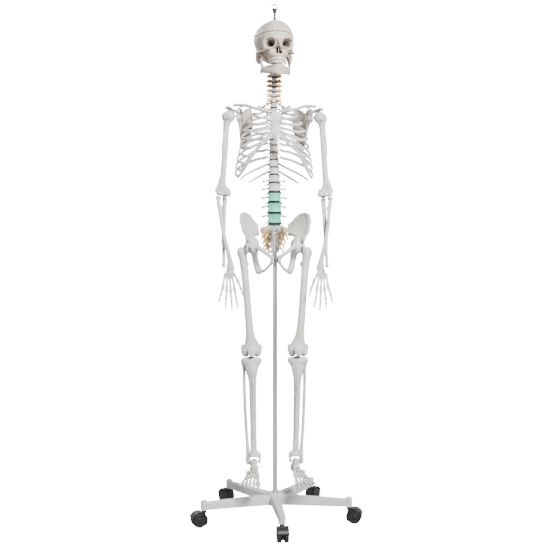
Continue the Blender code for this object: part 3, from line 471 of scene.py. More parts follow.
def bone_paint(name, light, shade, crease_shade_colour, occlusion_shade_colour, rough=0.42):
    """Cast bone plastic: faint mottling, painted shade in creases and recesses, and a fine pitted grain."""
    light, shade, crease_shade_colour, occlusion_shade_colour = [srgb(*colour) for colour in (light, shade, crease_shade_colour, occlusion_shade_colour)]
    paint = Paint(name)
    mottled = paint.ramp(paint.noise(30, 5), (0.32, shade), (0.62, light))
    # painted shade: the crease colour laid into creases found by pointiness
    with_crease_shade = paint.blend(paint.crease_shade_mask(), mottled, crease_shade_colour)
    # painted shade: the darkest colour laid where ambient occlusion finds recesses and gaps, such as the eye
    # sockets
    colour = paint.blend(paint.occlusion_shade_mask(0.03), with_crease_shade, occlusion_shade_colour)
    gloss = paint.span(paint.noise(150, 2), rough - 0.06, rough + 0.12)
    return paint.finish(colour, gloss, paint.noise(460, 5, 0.62), 0.32, 0.0007)


def smooth_paint(name, colour, rough, vary, metal=0.0, grain=420, strength=0.1):
    """Even surface, slightly worn in colour and gloss."""
    paint = Paint(name)
    colour = srgb(*colour)
    dark = [c * (1 - vary) for c in colour[:3]] + [1.0]
    tone = paint.ramp(paint.noise(45, 3), (0.3, dark), (0.7, colour))
    gloss = paint.span(paint.noise(80, 3), rough * 0.8, rough * 1.25)
    return paint.finish(tone, gloss, paint.noise(grain, 3), strength, 0.0003, metal)


# The last two colours of each bone paint are painted shade: one for creases, one for occluded recesses.
BONE = bone_paint("bone_plastic", (236, 231, 225), (221, 215, 208), (160, 152, 144), (96, 90, 86))
SKULL = bone_paint("skull_plastic", (235, 222, 205), (214, 198, 180), (140, 118, 98), (66, 48, 36))
TEAL = bone_paint("teal_bone_plastic", (124, 228, 194), (98, 214, 176), (70, 146, 120), (28, 84, 68))
CARTILAGE = bone_paint("cartilage_plastic", (226, 225, 222), (208, 207, 204), (160, 158, 154), (96, 94, 92),
                       0.36)
TEETH = bone_paint("teeth_plastic", (243, 239, 228), (230, 222, 205), (160, 140, 112), (90, 72, 56), 0.26)
DISC = smooth_paint("disc_rubber", (50, 49, 50), 0.5, 0.3)
TEAL_DISC = smooth_paint("teal_disc_rubber", (20, 66, 58), 0.45, 0.3)
GREY_JOINT = smooth_paint("joint_cartilage", (120, 120, 120), 0.45, 0.2)
NERVE = smooth_paint("nerve_yellow", (240, 214, 108), 0.4, 0.15)
PALE_NERVE = smooth_paint("sacral_nerve_yellow", (250, 204, 104), 0.42, 0.12)
ORANGE = smooth_paint("neck_nerve_orange", (250, 160, 72), 0.4, 0.12)
ARTERY = smooth_paint("artery_red", (214, 96, 48), 0.36, 0.2)
CHROME = smooth_paint("polished_steel", (206, 208, 211), 0.2, 0.05, 1.0, 90, 0.01)
STEEL = smooth_paint("dark_steel", (84, 85, 88), 0.3, 0.15, 1.0, 700, 0.05)
SPRING = smooth_paint("spring_steel", (150, 150, 152), 0.28, 0.1, 1.0, 900, 0.05)
COAT = smooth_paint("white_powder_coat", (224, 224, 225), 0.38, 0.04, 0.0, 1400, 0.16)
BLACK = smooth_paint("caster_nylon", (14, 14, 15), 0.42, 0.3)
TREAD = smooth_paint("caster_tread", (20, 20, 21), 0.66, 0.3, 0.0, 300, 0.3)


# ---- places shared by the pieces
def spot(x, y, z):
    return np.array((x, y, z), float)


HIP = spot(87, 5, 953)
ANKLE = spot(74, 8, 201)
SHOULDER = spot(160, 14, 1414)
WRIST = spot(162, -28, 872)
RADIUS_HEAD = spot(199, 19, 1126)
ULNA_HEAD = spot(181, -24, 887)
NECK_AXIS = (0, 25, 1585)
PIN_RADIUS = 3.0
FIT = 0.4
SIDES = (("left", 1), ("right", -1))


def pair(name, body, parts, node):
    """The same piece on the left and, mirrored, on the right."""
    for label, side in SIDES:
        shells = [(material, shell if side > 0 else mirror(shell)) for material, shell in parts]
        piece(f"{name}_{label}", body.format(label), shells, [f"{node}_{label}"])


def screw(center, radius, turn):
    """Round-head screw with a cross recess, its head along the turned z axis."""
    head = Bone(0.5, 0)
    head.add(drum((0, 0, 0), radius, radius * 0.9, 0, 0.6))
    for size in ((radius * 1.5, radius * 0.36, radius), (radius * 0.36, radius * 1.5, radius)):
        head.cut(brick((0, 0, radius * 0.55), size, edge=0.05), 0.1)
    place = Matrix.Translation(tuple(center)) @ Matrix([list(row) for row in turned(turn)]).to_4x4()
    return solid(head, radius * 0.16, place)


def pin_opening(bone, centre, swing):
    """Bore for the joint pin's cross bar, and its slot towards the socket."""
    half = PIN_RADIUS + FIT
    bone.cut(rod(centre - (0, 9.6, 0), centre + (0, 9.6, 0), half), 0.3)
    for degrees in np.linspace(0, swing, 4):
        t = math.radians(degrees)
        middle = centre + (-19 * math.cos(t), 0, 19 * math.sin(t))
        bone.cut(brick(middle, (42, 8.8, 8.8), (0, degrees, 0), 0.5), 0.5)


# ---- legs
def femur():
    b = Bone(6)
    b.add(ball(HIP, 21), 0)
    b.add(sweep((HIP + (5, 1, -3), (103, 8, 943), (117, 12, 932)), [14, 12.5, 13.5, 16], BACK), 6)
    b.add(ball((122, 16, 936), (10, 15, 17)))
    b.add(ball((121, 26, 945), (7, 8, 9)))
    shaft = ((113, 12, 922), (107, 5, 870), (100, -4, 790), (94, -7, 710), (88, -3, 645), (83, 3, 608))
    b.add(sweep(shaft, [15.5, 14.5, 13.5, 13, 12.6, 12.6, 13, 13.5, 15, (20, 14), (27, 17)], BACK, 4))
    b.add(ball((98, 23, 893), (7.5, 8, 10)))
    b.add(sweep(((119, 24, 938), (112, 27, 915), (100, 25, 897)), 3.6), 5)
    b.add(sweep(((106, 18, 880), (101, 10, 800), (96, 7, 720), (92, 10, 655)), (2.2, 3.0), BACK), 5)
    b.cut(ball((112, 30, 932), (5, 6, 8)), 4)
    for x in (62, 103):
        b.add(ball((x, 10, 586), (15, 22, 21.3)), 5)
    b.add(ball((82, -3, 597), (24, 14, 14)), 5)
    b.add(ball((51, 12, 599), (6, 10, 12)))
    b.add(ball((114, 12, 599), (6, 10, 11)))
    b.cut(ball((82.5, 30, 574), (8, 18, 20)), 3)
    b.cut(sweep(((82, -21, 616), (82, -23, 596), (82, -16, 570)), [4, 8, 7]), 5)
    b.cut(ball(HIP + (-20, 3, -3), 4.5), 2)
    pin_opening(b, HIP, 16)
    return solid(b, 2.1)


def patella():
    b = Bone(4, 0.25)
    b.add(ball((82, -24, 591), (17.5, 6.5, 18)))
    b.add(ball((82, -25, 577), (9, 5, 9)))
    b.cut(ball((92, -10, 594), (12, 9, 14)), 2)
    b.cut(ball((72, -10, 594), (12, 9, 14)), 2)
    return solid(b, 1.6)


def tibia():
    b = Bone(6)
    b.add(drum((82, 9, 553), (36, 22), 17, 0.5, 4))
    b.add(sweep(((82, 8, 550), (82, 7, 536), (81, 4, 512)), [(33, 20), (27, 19), (19, 18)], BACK), 8)
    for x in (63, 102):
        b.cut(ball((x, 9, 577.3), (17, 22, 17)), 3)
    b.cut(ball((82, 38, 560), (10, 14, 22)), 6)
    for x in (78.5, 86.5):
        b.add(ball((x, 9, 559), (2.5, 4, 5)), 2)
    b.add(ball((81, -11, 528), (8, 7, 13)))
    shaft = ((81, 4, 520), (79, 2, 470), (77, 5, 360), (75, 8, 260), (74, 8, 228), (73, 8, 220))
    b.add(sweep(shaft, [17, 16, 13, 12, 11.5, 11, 11, 11.5, 13, (17, 14), (20, 16)], BACK, 4))
    b.add(sweep(((81, -14, 515), (77, -12, 450), (74, -6, 360), (73, -3, 280)), (2.5, 4.0), BACK), 6)
    b.add(drum((73, 8, 221), (20, 16), 10, 0, 3))
    b.add(sweep(((58, 6, 222), (55.5, 6, 206), (55.5, 6, 195)), [8.5, 6.5, 5], BACK))
    b.cut(ball((73, 8, 208), (17, 18, 9.5)), 2)
    return solid(b, 2.1)


def fibula():
    b = Bone(4)
    line = ((110, 24, 546), (108, 22, 520), (106, 18, 420), (100, 16, 300), (95, 14, 232), (95, 13, 200),
            (94, 13, 189))
    b.add(sweep(line, [9, 7.5, 6, 5.5, 5.5, 5.5, 5.5, 6, 7, 8, 8.5, 7, 5.5], BACK, 4))
    b.add(ball((109, 25, 548), (9.5, 9, 10)))
    b.add(sweep(((109, 14, 500), (104, 10, 400), (98, 9, 300)), 2.0), 5)
    b.add(rod((100, 20, 546), (106, 23, 546), 5))
    b.add(rod((84, 11, 226), (95, 14, 226), 5))
    return solid(b, 1.9)


# Foot, from the ankle, forward is -y: metatarsal base, head, toe joints and tip; big toe first.
TOES = (
    ((-15, -62, -40), (-22, -118, -56), (-23, -141, -58), (-24, -160, -60)),
    ((-6, -66, -36), (-8, -124, -55), (-8, -140, -57), (-8, -150, -59), (-8, -158, -60)),
    ((4, -64, -38), (6, -117, -56), (7, -133, -57), (8, -143, -59), (8, -150, -60)),
    ((14, -59, -42), (20, -107, -57), (22, -122, -58), (23, -131, -60), (24, -138, -60)),
    ((22, -50, -47), (34, -94, -58), (37, -107, -59), (39, -115, -60), (40, -121, -60)),
)
TOE_SHAPES = ((1.08, 0.62, 1), (0.95, 0.6, 0.8), (0.78, 0.6, 0.72), (0.7, 0.5, 0.56))
TOE_KNOB, BIG_TOE_KNOB = 6.2, 8.6
FOOT_TURN = 7


def long_bone(b, start, end, radii, gap, height):
    """Small bone with knobbed ends, stopping `gap` short of each joint; radii at end, waist, end."""
    start, end = spot(*start), spot(*end)
    along = (end - start) / np.linalg.norm(end - start)
    start, end = start + along * gap, end - along * gap
    first, waist, last = radii
    line = [start + (end - start) * t for t in (0, 0.2, 0.5, 0.8, 1)]
    b.add(sweep(line, [first, first * 0.82, waist, last * 0.82, last], height, 1), 0)


def digit(points, knob, shapes, gaps, pad, height=UP):
    """Row of small bones through the points, sized in knobs, with a pad at the tip."""
    ray = Bone(1, 0.15)
    gap = gaps[0]
    for start, end, radii in zip(points, points[1:], shapes):
        long_bone(ray, start, end, [knob * r for r in radii], gap, height)
        gap = gaps[1]
    shift, radii = pad
    ray.add(ball(spot(*points[-1]) + shift, tuple(knob * r for r in radii)), 1)
    return ray


def foot():
    """Ankle, heel, midfoot and toes, each a separate little bone."""
    place = Matrix.Translation(tuple(ANKLE)) @ Matrix.Rotation(math.radians(FOOT_TURN), 4, "Z")
    rear = Bone(4, 0.3)
    rear.add(ball((0, -2, -8), (13, 19, 13.5)))
    rear.add(ball((-3, -22, -16), (11, 11, 10)), 5)
    rear.add(ball((11, 0, -10), (5, 12, 9)), 3)
    heel = Bone(5, 0.3)
    heel.add(ball((2, 27, -34), (13, 25, 15), (14, 0, 0)))
    heel.add(ball((3, 46, -38), (12, 10, 15)))
    heel.add(ball((4, -8, -31), (11, 20, 10)))
    heel.add(ball((-12, 2, -25), (7, 8, 4)))
    heel.cut(ball((0, -2, -8), (14.2, 20, 14.5)), 1)
    middle = []
    for center, radii in (((-5, -37, -21), (13, 6, 10)), ((17, -35, -37), (9, 12, 8)),
                          ((-14, -52, -31), (6.5, 9, 10)), ((-3, -55, -28), (5.5, 8, 8)),
                          ((7, -52, -31), (5.5, 8.5, 7.5))):
        bit = Bone(1, 0.4)
        bit.add(ball(center, radii))
        bit.add(brick(center, tuple(1.55 * r for r in radii), edge=2.5), 3)
        middle.append(bit)
    shells = [solid(bit, 1.6, place) for bit in [rear, heel] + middle]
    for points in TOES:
        knob = BIG_TOE_KNOB if points is TOES[0] else TOE_KNOB
        ray = digit(points, knob, TOE_SHAPES, (0.4, 0.5), ((0, 1, 0), (0.62, 0.5, 0.42)))
        shells.append(solid(ray, 1.35, place))
    return shells


# ---- arms
def humerus():
    b = Bone(5)
    b.add(ball(SHOULDER, 21), 0)
    b.add(ball((174, 4, 1412), (9, 10, 14)))
    b.add(ball((178, 16, 1412), (9, 13, 14)))
    b.add(ball((166, -6, 1407), (6, 5, 9)))
    shaft = ((167, 14, 1400), (171, 15, 1375), (175, 16, 1300), (181, 19, 1220), (185, 21, 1180),
             (186, 21, 1162))
    thick = [15, 13, 11.5, 10.6, 10.2, 10, 10.2, 10.6, (12.5, 9), (16.5, 7.5), (19, 6.5)]
    b.add(sweep(shaft, thick, BACK, 4))
    b.add(sweep(((180, 6, 1345), (184, 10, 1310), (184, 13, 1280)), 3.2), 6)
    b.cut(sweep(((170, -8, 1412), (172, -3, 1385), (174, 2, 1360)), 2.6), 2.5)
    b.add(ball((163, 24, 1154), (7, 6, 8)))
    b.add(ball((206, 22, 1153), (5, 6, 8)))
    b.add(sweep(((203, 21, 1160), (194, 20, 1192)), (2.5, 3)), 6)
    trochlea = ((164, 21, 1142), (169, 21, 1142), (177, 21, 1142), (184, 21, 1142), (190, 21, 1142))
    b.add(sweep(trochlea, [11, 10, 8.2, 9.2, 8.8], UP, 2), 2)
    b.add(brick((185, 21, 1153), (34, 9, 13), edge=4), 3)
    b.add(ball((198, 20, 1143), (9, 9.5, 9.5)), 2)
    b.cut(ball((176, 32, 1160), (10, 7, 9)), 2)
    b.cut(ball((177, 11, 1159), (8, 5, 7)), 2)
    b.cut(ball((199, 9, 1157), (11, 7, 9)), 2)
    pin_opening(b, SHOULDER, 30)
    return solid(b, 2.0)


def ulna():
    b = Bone(3)
    centre = spot(176, 21, 1142)
    arc = []
    for degrees in (150, 175, 200, 225, 250, 275, 296):
        t = math.radians(degrees)
        arc.append(centre + (0, -math.cos(t) * 16.8, math.sin(t) * 16.8))
    b.add(sweep(arc, [(6, 4.5), (8, 6), (8, 6), (8, 6), (8, 6), (8, 5), (6.5, 3.5)], (0, 0.01, 1), 2))
    b.add(ball((176, 37, 1156), (7.5, 6, 8)))
    shaft = ((176, 30, 1118), (177, 27, 1090), (179, 19, 1030), (181, 2, 960), (181, -20, 905),
             tuple(ULNA_HEAD))
    b.add(sweep(shaft, [9, 8, 7.4, 6.8, 6.4, 6, 5.8, 5.6, 5.4, 6, 7], BACK, 4), 5)
    b.add(sweep(((183, 26, 1100), (185, 16, 1030), (187, 1, 965)), 1.6), 4)
    b.add(rod(ULNA_HEAD + (2, 5, 0), ULNA_HEAD + (3, 6, -7), [3, 2]), 2)
    return solid(b, 1.8)


def radius():
    b = Bone(3)
    b.add(drum(RADIUS_HEAD + (0, 0, 1), (10, 10), 11, 0.3, 2.5))
    b.cut(ball(RADIUS_HEAD + (0, 0, 17.5), 12.5), 1)
    shaft = (tuple(RADIUS_HEAD), (198, 16, 1105), (194, 10, 1085), (187, -10, 1030), (174, -29, 965),
             (160, -31, 905), (158, -28, 881))
    b.add(sweep(shaft, [6.5, 6.5, 7.5, 7, 6.4, 6.4, 6.6, 7, 8, (11, 7.5), (14, 9)], BACK, 4), 4)
    b.add(ball((190, 12, 1090), (5, 6, 9)), 4)
    b.add(ball((148, -29, 879), (5, 6, 8)), 4)
    b.cut(ball((161, -29, 867), (17, 9, 7.5)), 1.5)
    b.add(sweep(((190, -14, 1040), (180, -26, 985), (170, -32, 940)), 1.8), 4)
    return solid(b, 1.8)


# Hand: metacarpal base, knuckle, finger joints and tip; thumb first.
FINGERS = (
    ((148, -33, 858), (137, -42, 834), (128, -49, 809), (122, -54, 785)),
    ((154, -31, 854), (146, -37, 802), (142, -45, 774), (139, -47, 756), (137, -44, 742)),
    ((161, -31, 854), (158, -38, 798), (156, -47, 768), (155, -49, 749), (154, -45, 733)),
    ((168, -30, 854), (170, -37, 801), (172, -45, 773), (173, -46, 755), (174, -42, 740)),
    ((175, -29, 856), (182, -35, 808), (188, -41, 786), (191, -42, 772), (193, -39, 760)),
)
CARPALS = (
    ((151, -30, 870), (6.5, 6, 6)), ((160, -29, 871), (5.5, 6, 6)), ((169, -28, 870), (5, 5.5, 5.5)),
    ((170, -35, 868), (3.6, 3.6, 4)), ((149, -32, 861), (4.5, 5, 4)), ((155.5, -31, 860), (4, 5, 4.5)),
    ((163, -30, 861), (4.6, 6, 6)), ((171, -30, 861), (5, 6, 5)),
)
FINGER_SHAPES = ((1, 0.62, 1.06), (1.0, 0.66, 0.82), (0.84, 0.58, 0.68), (0.7, 0.46, 0.5))
FINGER_KNOB, THUMB_KNOB = 5.5, 6.0
FINGER_SPREAD = 1.15


def hand():
    """Wrist bones, palm bones and three bones to a finger, joined by wires."""
    wrist = Bone(0.6, 0.35)
    for center, radii in CARPALS:
        wrist.add(ball(center, radii), 1.2)
        wrist.add(brick(center, tuple(1.45 * r for r in radii), edge=1.6), 1.5)
    shells = [(BONE, solid(wrist, 1.2))]
    wires = Bone(0, 0)
    for number, points in enumerate(FINGERS):
        points = [(WRIST[0] + (x - WRIST[0]) * FINGER_SPREAD, y, z) for x, y, z in points]
        knob = FINGER_KNOB if number else THUMB_KNOB
        ray = digit(points, knob, FINGER_SHAPES, (0.8, 0.7), ((0, 0, 1), (0.62, 0.42, 0.55)), BACK)
        ray.ripple = 0.12
        shells.append((BONE, solid(ray, 1.1)))
        wires.add(sweep(points, 0.9, BACK, 2), 0)
    shells.append((CHROME, solid(wires, 0.7)))
    return shells


# ---- head
HEAD_TURN = 6
CAP_CUT = 1694.0
SKULL_WALL = 6.5
TOOTH_STEP = 0.8
TOOTH_GAP = 0.15
TOOTH_ARCH_WIDTH, TOOTH_ARCH_DEPTH = 27.0, 45.0
TOOTH_ARCH_LENGTH, TOOTH_ARCH_SWEEP = 52.0, 1.35
HEAD_PIVOT = Matrix.Translation(NECK_AXIS)
HEAD = HEAD_PIVOT @ Matrix.Rotation(math.radians(HEAD_TURN), 4, "Z") @ HEAD_PIVOT.inverted()


def vault(b, wall=0.0):
    """Egg of the brain case, drawn in by the wall's thickness."""
    b.add(ball((0, -4, 1688), (58 - wall, 66 - wall, 61 - wall)), 14)
    b.add(ball((0, 38, 1690), (71 - wall, 77 - wall, 64 - wall)), 14)
    b.add(ball((0, 52, 1652), (56 - wall, 52 - wall, 40 - wall)), 14)


def vault_hollow():
    hollow = Bone(14, 0)
    vault(hollow, SKULL_WALL)
    return hollow.shape()


def seams(b):
    """Fine grooves where the skull's bones meet."""
    with b.both_sides():
        back = ((2, 112, 1708), (22, 108, 1690), (44, 96, 1668), (58, 76, 1650))
        b.cut(sweep(back, 1.1, UP, 4), 0.8)
        temple = ((62, -6, 1660), (70, 10, 1680), (73, 34, 1686), (71, 58, 1672), (62, 74, 1656))
        b.cut(sweep(temple, 1.3, UP, 4), 0.8)


def upper_skull():
    b = Bone(5, 0.3)
    vault(b)
    b.add(ball((0, 32, 1621), (33, 30, 16)), 8)
    with b.both_sides():
        b.add(ball((19, 28, 1609), (7, 12, 6)), 3)
        b.add(sweep(((55, 36, 1640), (57, 35, 1618), (54, 33, 1606)), [11, 9.5, 5]), 6)
        arch = ((38, -50, 1641), (54, -36, 1634), (63, -12, 1634), (62, 8, 1641), (55, 22, 1646))
        b.add(sweep(arch, [(4, 6), (3, 5.4), (2.6, 4), (2.8, 4), (4, 4.4)], UP, 4), 4)
        brow = ((6, -62, 1669), (20, -65, 1674), (34, -61, 1677), (48, -50, 1668), (51, -43, 1654),
                (43, -48, 1641))
        b.add(sweep(brow, [5, 5.2, 4.6, 4.2, 3.8, 4.6], UP, 4), 4)
        b.add(sweep(((46, -46, 1640), (33, -57, 1637), (19, -65, 1645)), [6, 5, 4]), 4)
        b.add(ball((20, -42, 1626), (15, 20, 16)), 6)
        b.add(ball((26, -20, 1612), (6, 9, 14)), 5)
    b.add(ball((0, -52, 1616), (21, 18, 11)), 6)
    bridge = ((0, -62, 1674), (0, -68, 1664), (0, -74, 1653), (0, -79, 1646))
    b.add(sweep(bridge, [7, 5.5, 4.6, 3.0], UP, 4), 4)
    gum = ((-26, -26, 1612), (-23, -44, 1612), (-14, -61, 1612), (0, -68, 1612), (14, -61, 1612),
           (23, -44, 1612), (26, -26, 1612))
    b.add(sweep(gum, (4.2, 6.4)), 4)
    with b.both_sides():
        b.cut(ball((64.5, -18, 1664), (10, 22, 18), (0, 0, 12)), 6)
        b.cut(ball((50, -20, 1640), (9, 20, 11)), 6)
    b.cut(vault_hollow(), 1)
    b.add(ball((0, -36, 1652), (17, 22, 19)), 4)
    with b.both_sides():
        socket = ((33, -82, 1655), (31.5, -62, 1656), (26, -44, 1656), (20, -25, 1657))
        b.add(sweep(socket[2:], [(17.5, 16), (9, 8.5)], UP, 2), 4)
        b.add(ball((43.5, -37, 1655), (9, 13, 18)), 4)
        b.cut(sweep(socket, [(20, 17), (18.5, 16), (13.5, 12), (5, 4.5)], UP, 9), 3)
        b.cut(rod((22, -30, 1650), (36, -44, 1644), 2.2), 1.5)
        b.cut(ball((20, -66, 1632), (2.4, 6, 2.4)), 1)
        b.cut(ball((26, -70, 1676), (1.8, 5, 1.8)), 1)
        b.cut(ball((65, 22, 1634), (7, 4, 4)), 1.5)
        b.cut(ball((30, -62, 1622), (7, 5, 6)), 4)
    with b.both_sides():
        b.cut(ball((4.5, -74, 1627), (8, 42, 10)), 2)
    b.cut(ball((0, -74, 1637.5), (8, 38, 12.5)), 3)
    b.add(rod((0, -47, 1650), (0, -48, 1616), (0.9, 8), BACK), 1)
    with b.both_sides():
        b.add(rod((10.5, -54, 1631), (8, -42, 1629), [(2.6, 3.4), 2]), 1)
    b.cut(rod((0, 26, 1590), (0, 28, 1650), (12.5, 15), BACK), 2)
    b.cut(ball((0, -40, 1602), (17, 20, 8)), 3)
    b.cut(brick((0, 20, CAP_CUT + 60), (220, 260, 120), edge=0.1), 0.3)
    seams(b)
    return b


def tooth_row(centre_y, edge_z, sizes, up):
    """Arch of teeth biting at edge_z, in (width, length) from the middle; `up` is 1 in the upper jaw."""
    teeth = []
    for side in (1, -1):
        reach = 0.0
        for number, (width, length) in enumerate(sizes):
            t = (reach + width / 2) / TOOTH_ARCH_LENGTH * TOOTH_ARCH_SWEEP
            reach += width + TOOTH_GAP
            x = side * TOOTH_ARCH_WIDTH * math.sin(min(t, math.pi / 2))
            y = centre_y + TOOTH_ARCH_DEPTH * (1 - math.cos(min(t, math.pi / 2)))
            slope = math.atan2(TOOTH_ARCH_DEPTH * math.sin(t), TOOTH_ARCH_WIDTH * math.cos(t))
            thick = min(4.4 + 0.9 * number, 9.5)
            b = Bone(1, 0)
            b.add(brick((0, 0, 0), (width, thick, length), edge=min(width, thick) * 0.32), 0)
            neck = (width * 0.75, thick * 0.7, length * 0.7)
            b.add(brick((0, 0.4, up * length * 0.45), neck, edge=1.4), 1)
            if number > 3:
                b.cut(ball((0, 0, -up * (length / 2 + 1.2)), (1.6, thick, 2.0)), 1)
            turn = Matrix.Rotation(slope * side, 4, "Z")
            place = HEAD @ Matrix.Translation((x, y, edge_z + up * length / 2)) @ turn
            teeth.append((TEETH, solid(b, TOOTH_STEP, place)))
    return teeth


UPPER_TEETH = ((8.2, 9.5), (6.6, 8.6), (7.2, 9.6), (6.6, 8.0), (6.4, 7.6), (9.0, 7.0), (8.4, 6.6))
LOWER_TEETH = ((5.2, 8.6), (5.6, 8.6), (6.6, 9.2), (6.6, 8.0), (6.8, 7.6), (9.6, 7.0), (9.0, 6.6))


def cap_hooks(inner_x, outer_x, z):
    """Pin on each temple, just off the lid's seam."""
    hooks = Bone(0.5, 0)
    with hooks.both_sides():
        hooks.add(rod((inner_x, 40, z), (outer_x, 40, z), 2.4), 0)
    return solid(hooks, 0.7, HEAD)


def cranium():
    parts = [(SKULL, solid(upper_skull(), 1.6, HEAD))]
    parts += tooth_row(-71.5, 1596.2, UPPER_TEETH, 1)
    parts.append((CHROME, cap_hooks(68, 71.5, CAP_CUT - 9)))
    return parts


def jaw_springs():
    """Coil from each cheek arch to the jaw, riding with the skull."""
    spring = Bone(0, 0)
    for side in (1, -1):
        top, bottom = spot(side * 61.5, -9, 1632), spot(side * 54.5, -2, 1609)
        turns = []
        for t in np.linspace(0, 1, 90):
            round_angle = t * 2 * math.pi * 9
            coil = spot(2.2 * math.cos(round_angle), 2.2 * math.sin(round_angle), 0)
            turns.append(bottom + (top - bottom) * t + coil)
        spring.add(sweep(turns, 0.55, UP, 1), 0)
        spring.add(rod(bottom - (side * 4, 0, 0), bottom + (side * 1.5, 0, 0), 1.3), 0)
    return [(SPRING, solid(spring, 0.5, HEAD))]


def skull_cap():
    b = Bone(5, 0.3)
    vault(b)
    b.cut(vault_hollow(), 1)
    b.cut(brick((0, 20, CAP_CUT + 1.5 - 60), (220, 260, 120), edge=0.1), 0.3)
    crest = ((-10, 1750.5), (20, 1754.5), (50, 1754), (80, 1742), (104, 1722), (112, 1708))
    b.cut(sweep([(0, y, z) for y, z in crest], 1.1, UP, 4), 0.8)
    with b.both_sides():
        b.cut(sweep(((0, -10, 1750.5), (26, -7, 1745), (48, -3, 1729), (60, -2, 1706)), 1.1, UP, 4), 0.8)
    b.cut(rod((0, 15, 1715), (0, 15, 1780), 3.4), 0.3)
    return [(SKULL, solid(b, 1.6, HEAD)), (CHROME, cap_hooks(69, 73, CAP_CUT + 9))]


def eye_hook():
    """Chromed eye on a dark flared bolt with its nut."""
    def crown(z):
        return 0, 15, z
    eye = Bone(0.8, 0)
    eye.add(ring(crown(1802.5), 10, 2.5, (90, 0, 0)))
    stem = Bone(0.8, 0)
    stem.add(rod(crown(1732), crown(1781), 3.0))
    stem.add(sweep((crown(1757), crown(1768), crown(1780), crown(1792)), [6.5, 4.4, 5, 8.3], BACK, 3))
    stem.cut(rod(crown(1792), crown(1800), 5.6), 0.4)
    for z in (1771, 1774.5, 1778):
        stem.cut(ring(crown(z), 5.6, 0.9), 0.3)
    nut = Bone(0, 0)
    nut.add(drum(crown(1736.5), 6.8, 5, 0, 0.8))
    parts = [(CHROME, solid(eye, 0.8, polished=True)), (STEEL, solid(stem, 0.8, polished=True))]
    return parts + [(STEEL, solid(nut, 0.9))]


def mandible():
    b = Bone(4, 0.25)
    with b.both_sides():
        body = ((0, -65, 1557), (13, -61, 1557), (27, -44, 1562), (42, -17, 1570), (49, 2, 1578))
        b.add(sweep(body, [(5, 10.5), (5, 9.5), (4.6, 9.5), (4.4, 11), (4.0, 12)], UP, 4))
        ramus = ((49, -2, 1575), (51, 2, 1596), (52, 7, 1613))
        b.add(sweep(ramus, [(14, 3.4), (14, 2.8), (12.5, 2.8)], ACROSS, 4), 4)
        b.add(sweep(((52, 11, 1606), (52, 13, 1620), (52, 14, 1630)), [4, 3.2, 4]), 3)
        b.add(ball((52, 14, 1630), (8.5, 4.2, 4.2)), 2)
        b.add(sweep(((50, -4, 1606), (49.5, -8, 1617), (49, -6, 1626)), [(5, 2.6), (4, 2.2), (2.4, 1.8)],
                    ACROSS, 3), 3)
        b.add(ball((50, 12, 1571), (4, 9, 9)), 4)
        b.cut(ball((20, -64, 1561), (2.2, 6, 2.2)), 1)
    b.add(ball((0, -68, 1551), (14, 6, 7)), 5)
    b.add(ball((0, -70, 1549), (7, 4, 5)), 4)
    gum = ((-33, -12, 1578), (-25, -34, 1576), (-16, -54, 1575), (0, -64.5, 1575), (16, -54, 1575),
           (25, -34, 1576), (33, -12, 1578))
    b.add(sweep(gum, (4.2, 10.0)), 4)
    with b.both_sides():
        b.add(sweep(((34, -16, 1581), (44, -6, 1584), (50, 0, 1592)), [4.4, 4, 3]), 4)
        b.cut(ball((58, 4, 1594), (5, 9, 12)), 4)
    parts = [(SKULL, solid(b, 1.5, HEAD))]
    parts += tooth_row(-69.5, 1595.4, LOWER_TEETH, -1)
    return parts


# ---- spine
# Vertebra centres: name, y, z, forward tilt in degrees.
NECK = (
    ("c7", 36, 1481, 14), ("c6", 32, 1497, 9), ("c5", 28, 1513, 4), ("c4", 25, 1530, -2),
    ("c3", 24, 1546, -6),
)
AXIS = ("c2", 25, 1565, -8)
CHEST = (
    ("t1", 42, 1463, 18), ("t2", 48, 1444, 15), ("t3", 53, 1425, 12), ("t4", 57, 1406, 8),
    ("t5", 59, 1387, 4), ("t6", 60, 1368, 0), ("t7", 60, 1348.5, -3), ("t8", 57, 1328, -6),
    ("t9", 53, 1304.5, -8), ("t10", 48, 1277.5, -9), ("t11", 42, 1250.5, -10), ("t12", 36, 1223, -10),
)
LOINS = (
    ("l1", 29, 1194, -10), ("l2", 23, 1163.5, -7), ("l3", 19, 1129.5, -1), ("l4", 18, 1093.5, 6),
    ("l5", 21, 1057, 14),
)

CHEST_PITCH, LOW_CHEST_PITCH = 19.0, 27.0  # height from one chest vertebra to the next
CHEST_FILL = 0.84  # part of a chest vertebra's pitch taken by its body
LOIN_HEIGHTS = (23.5, 26.0, 28.5, 30.5, 30.0)
BEND_ROOM = 1.5  # left above a loin disc for the spine to bend


def spine_place(y, z, tilt):
    return Matrix.Translation((0, y, z)) @ Matrix.Rotation(math.radians(tilt), 4, "X")


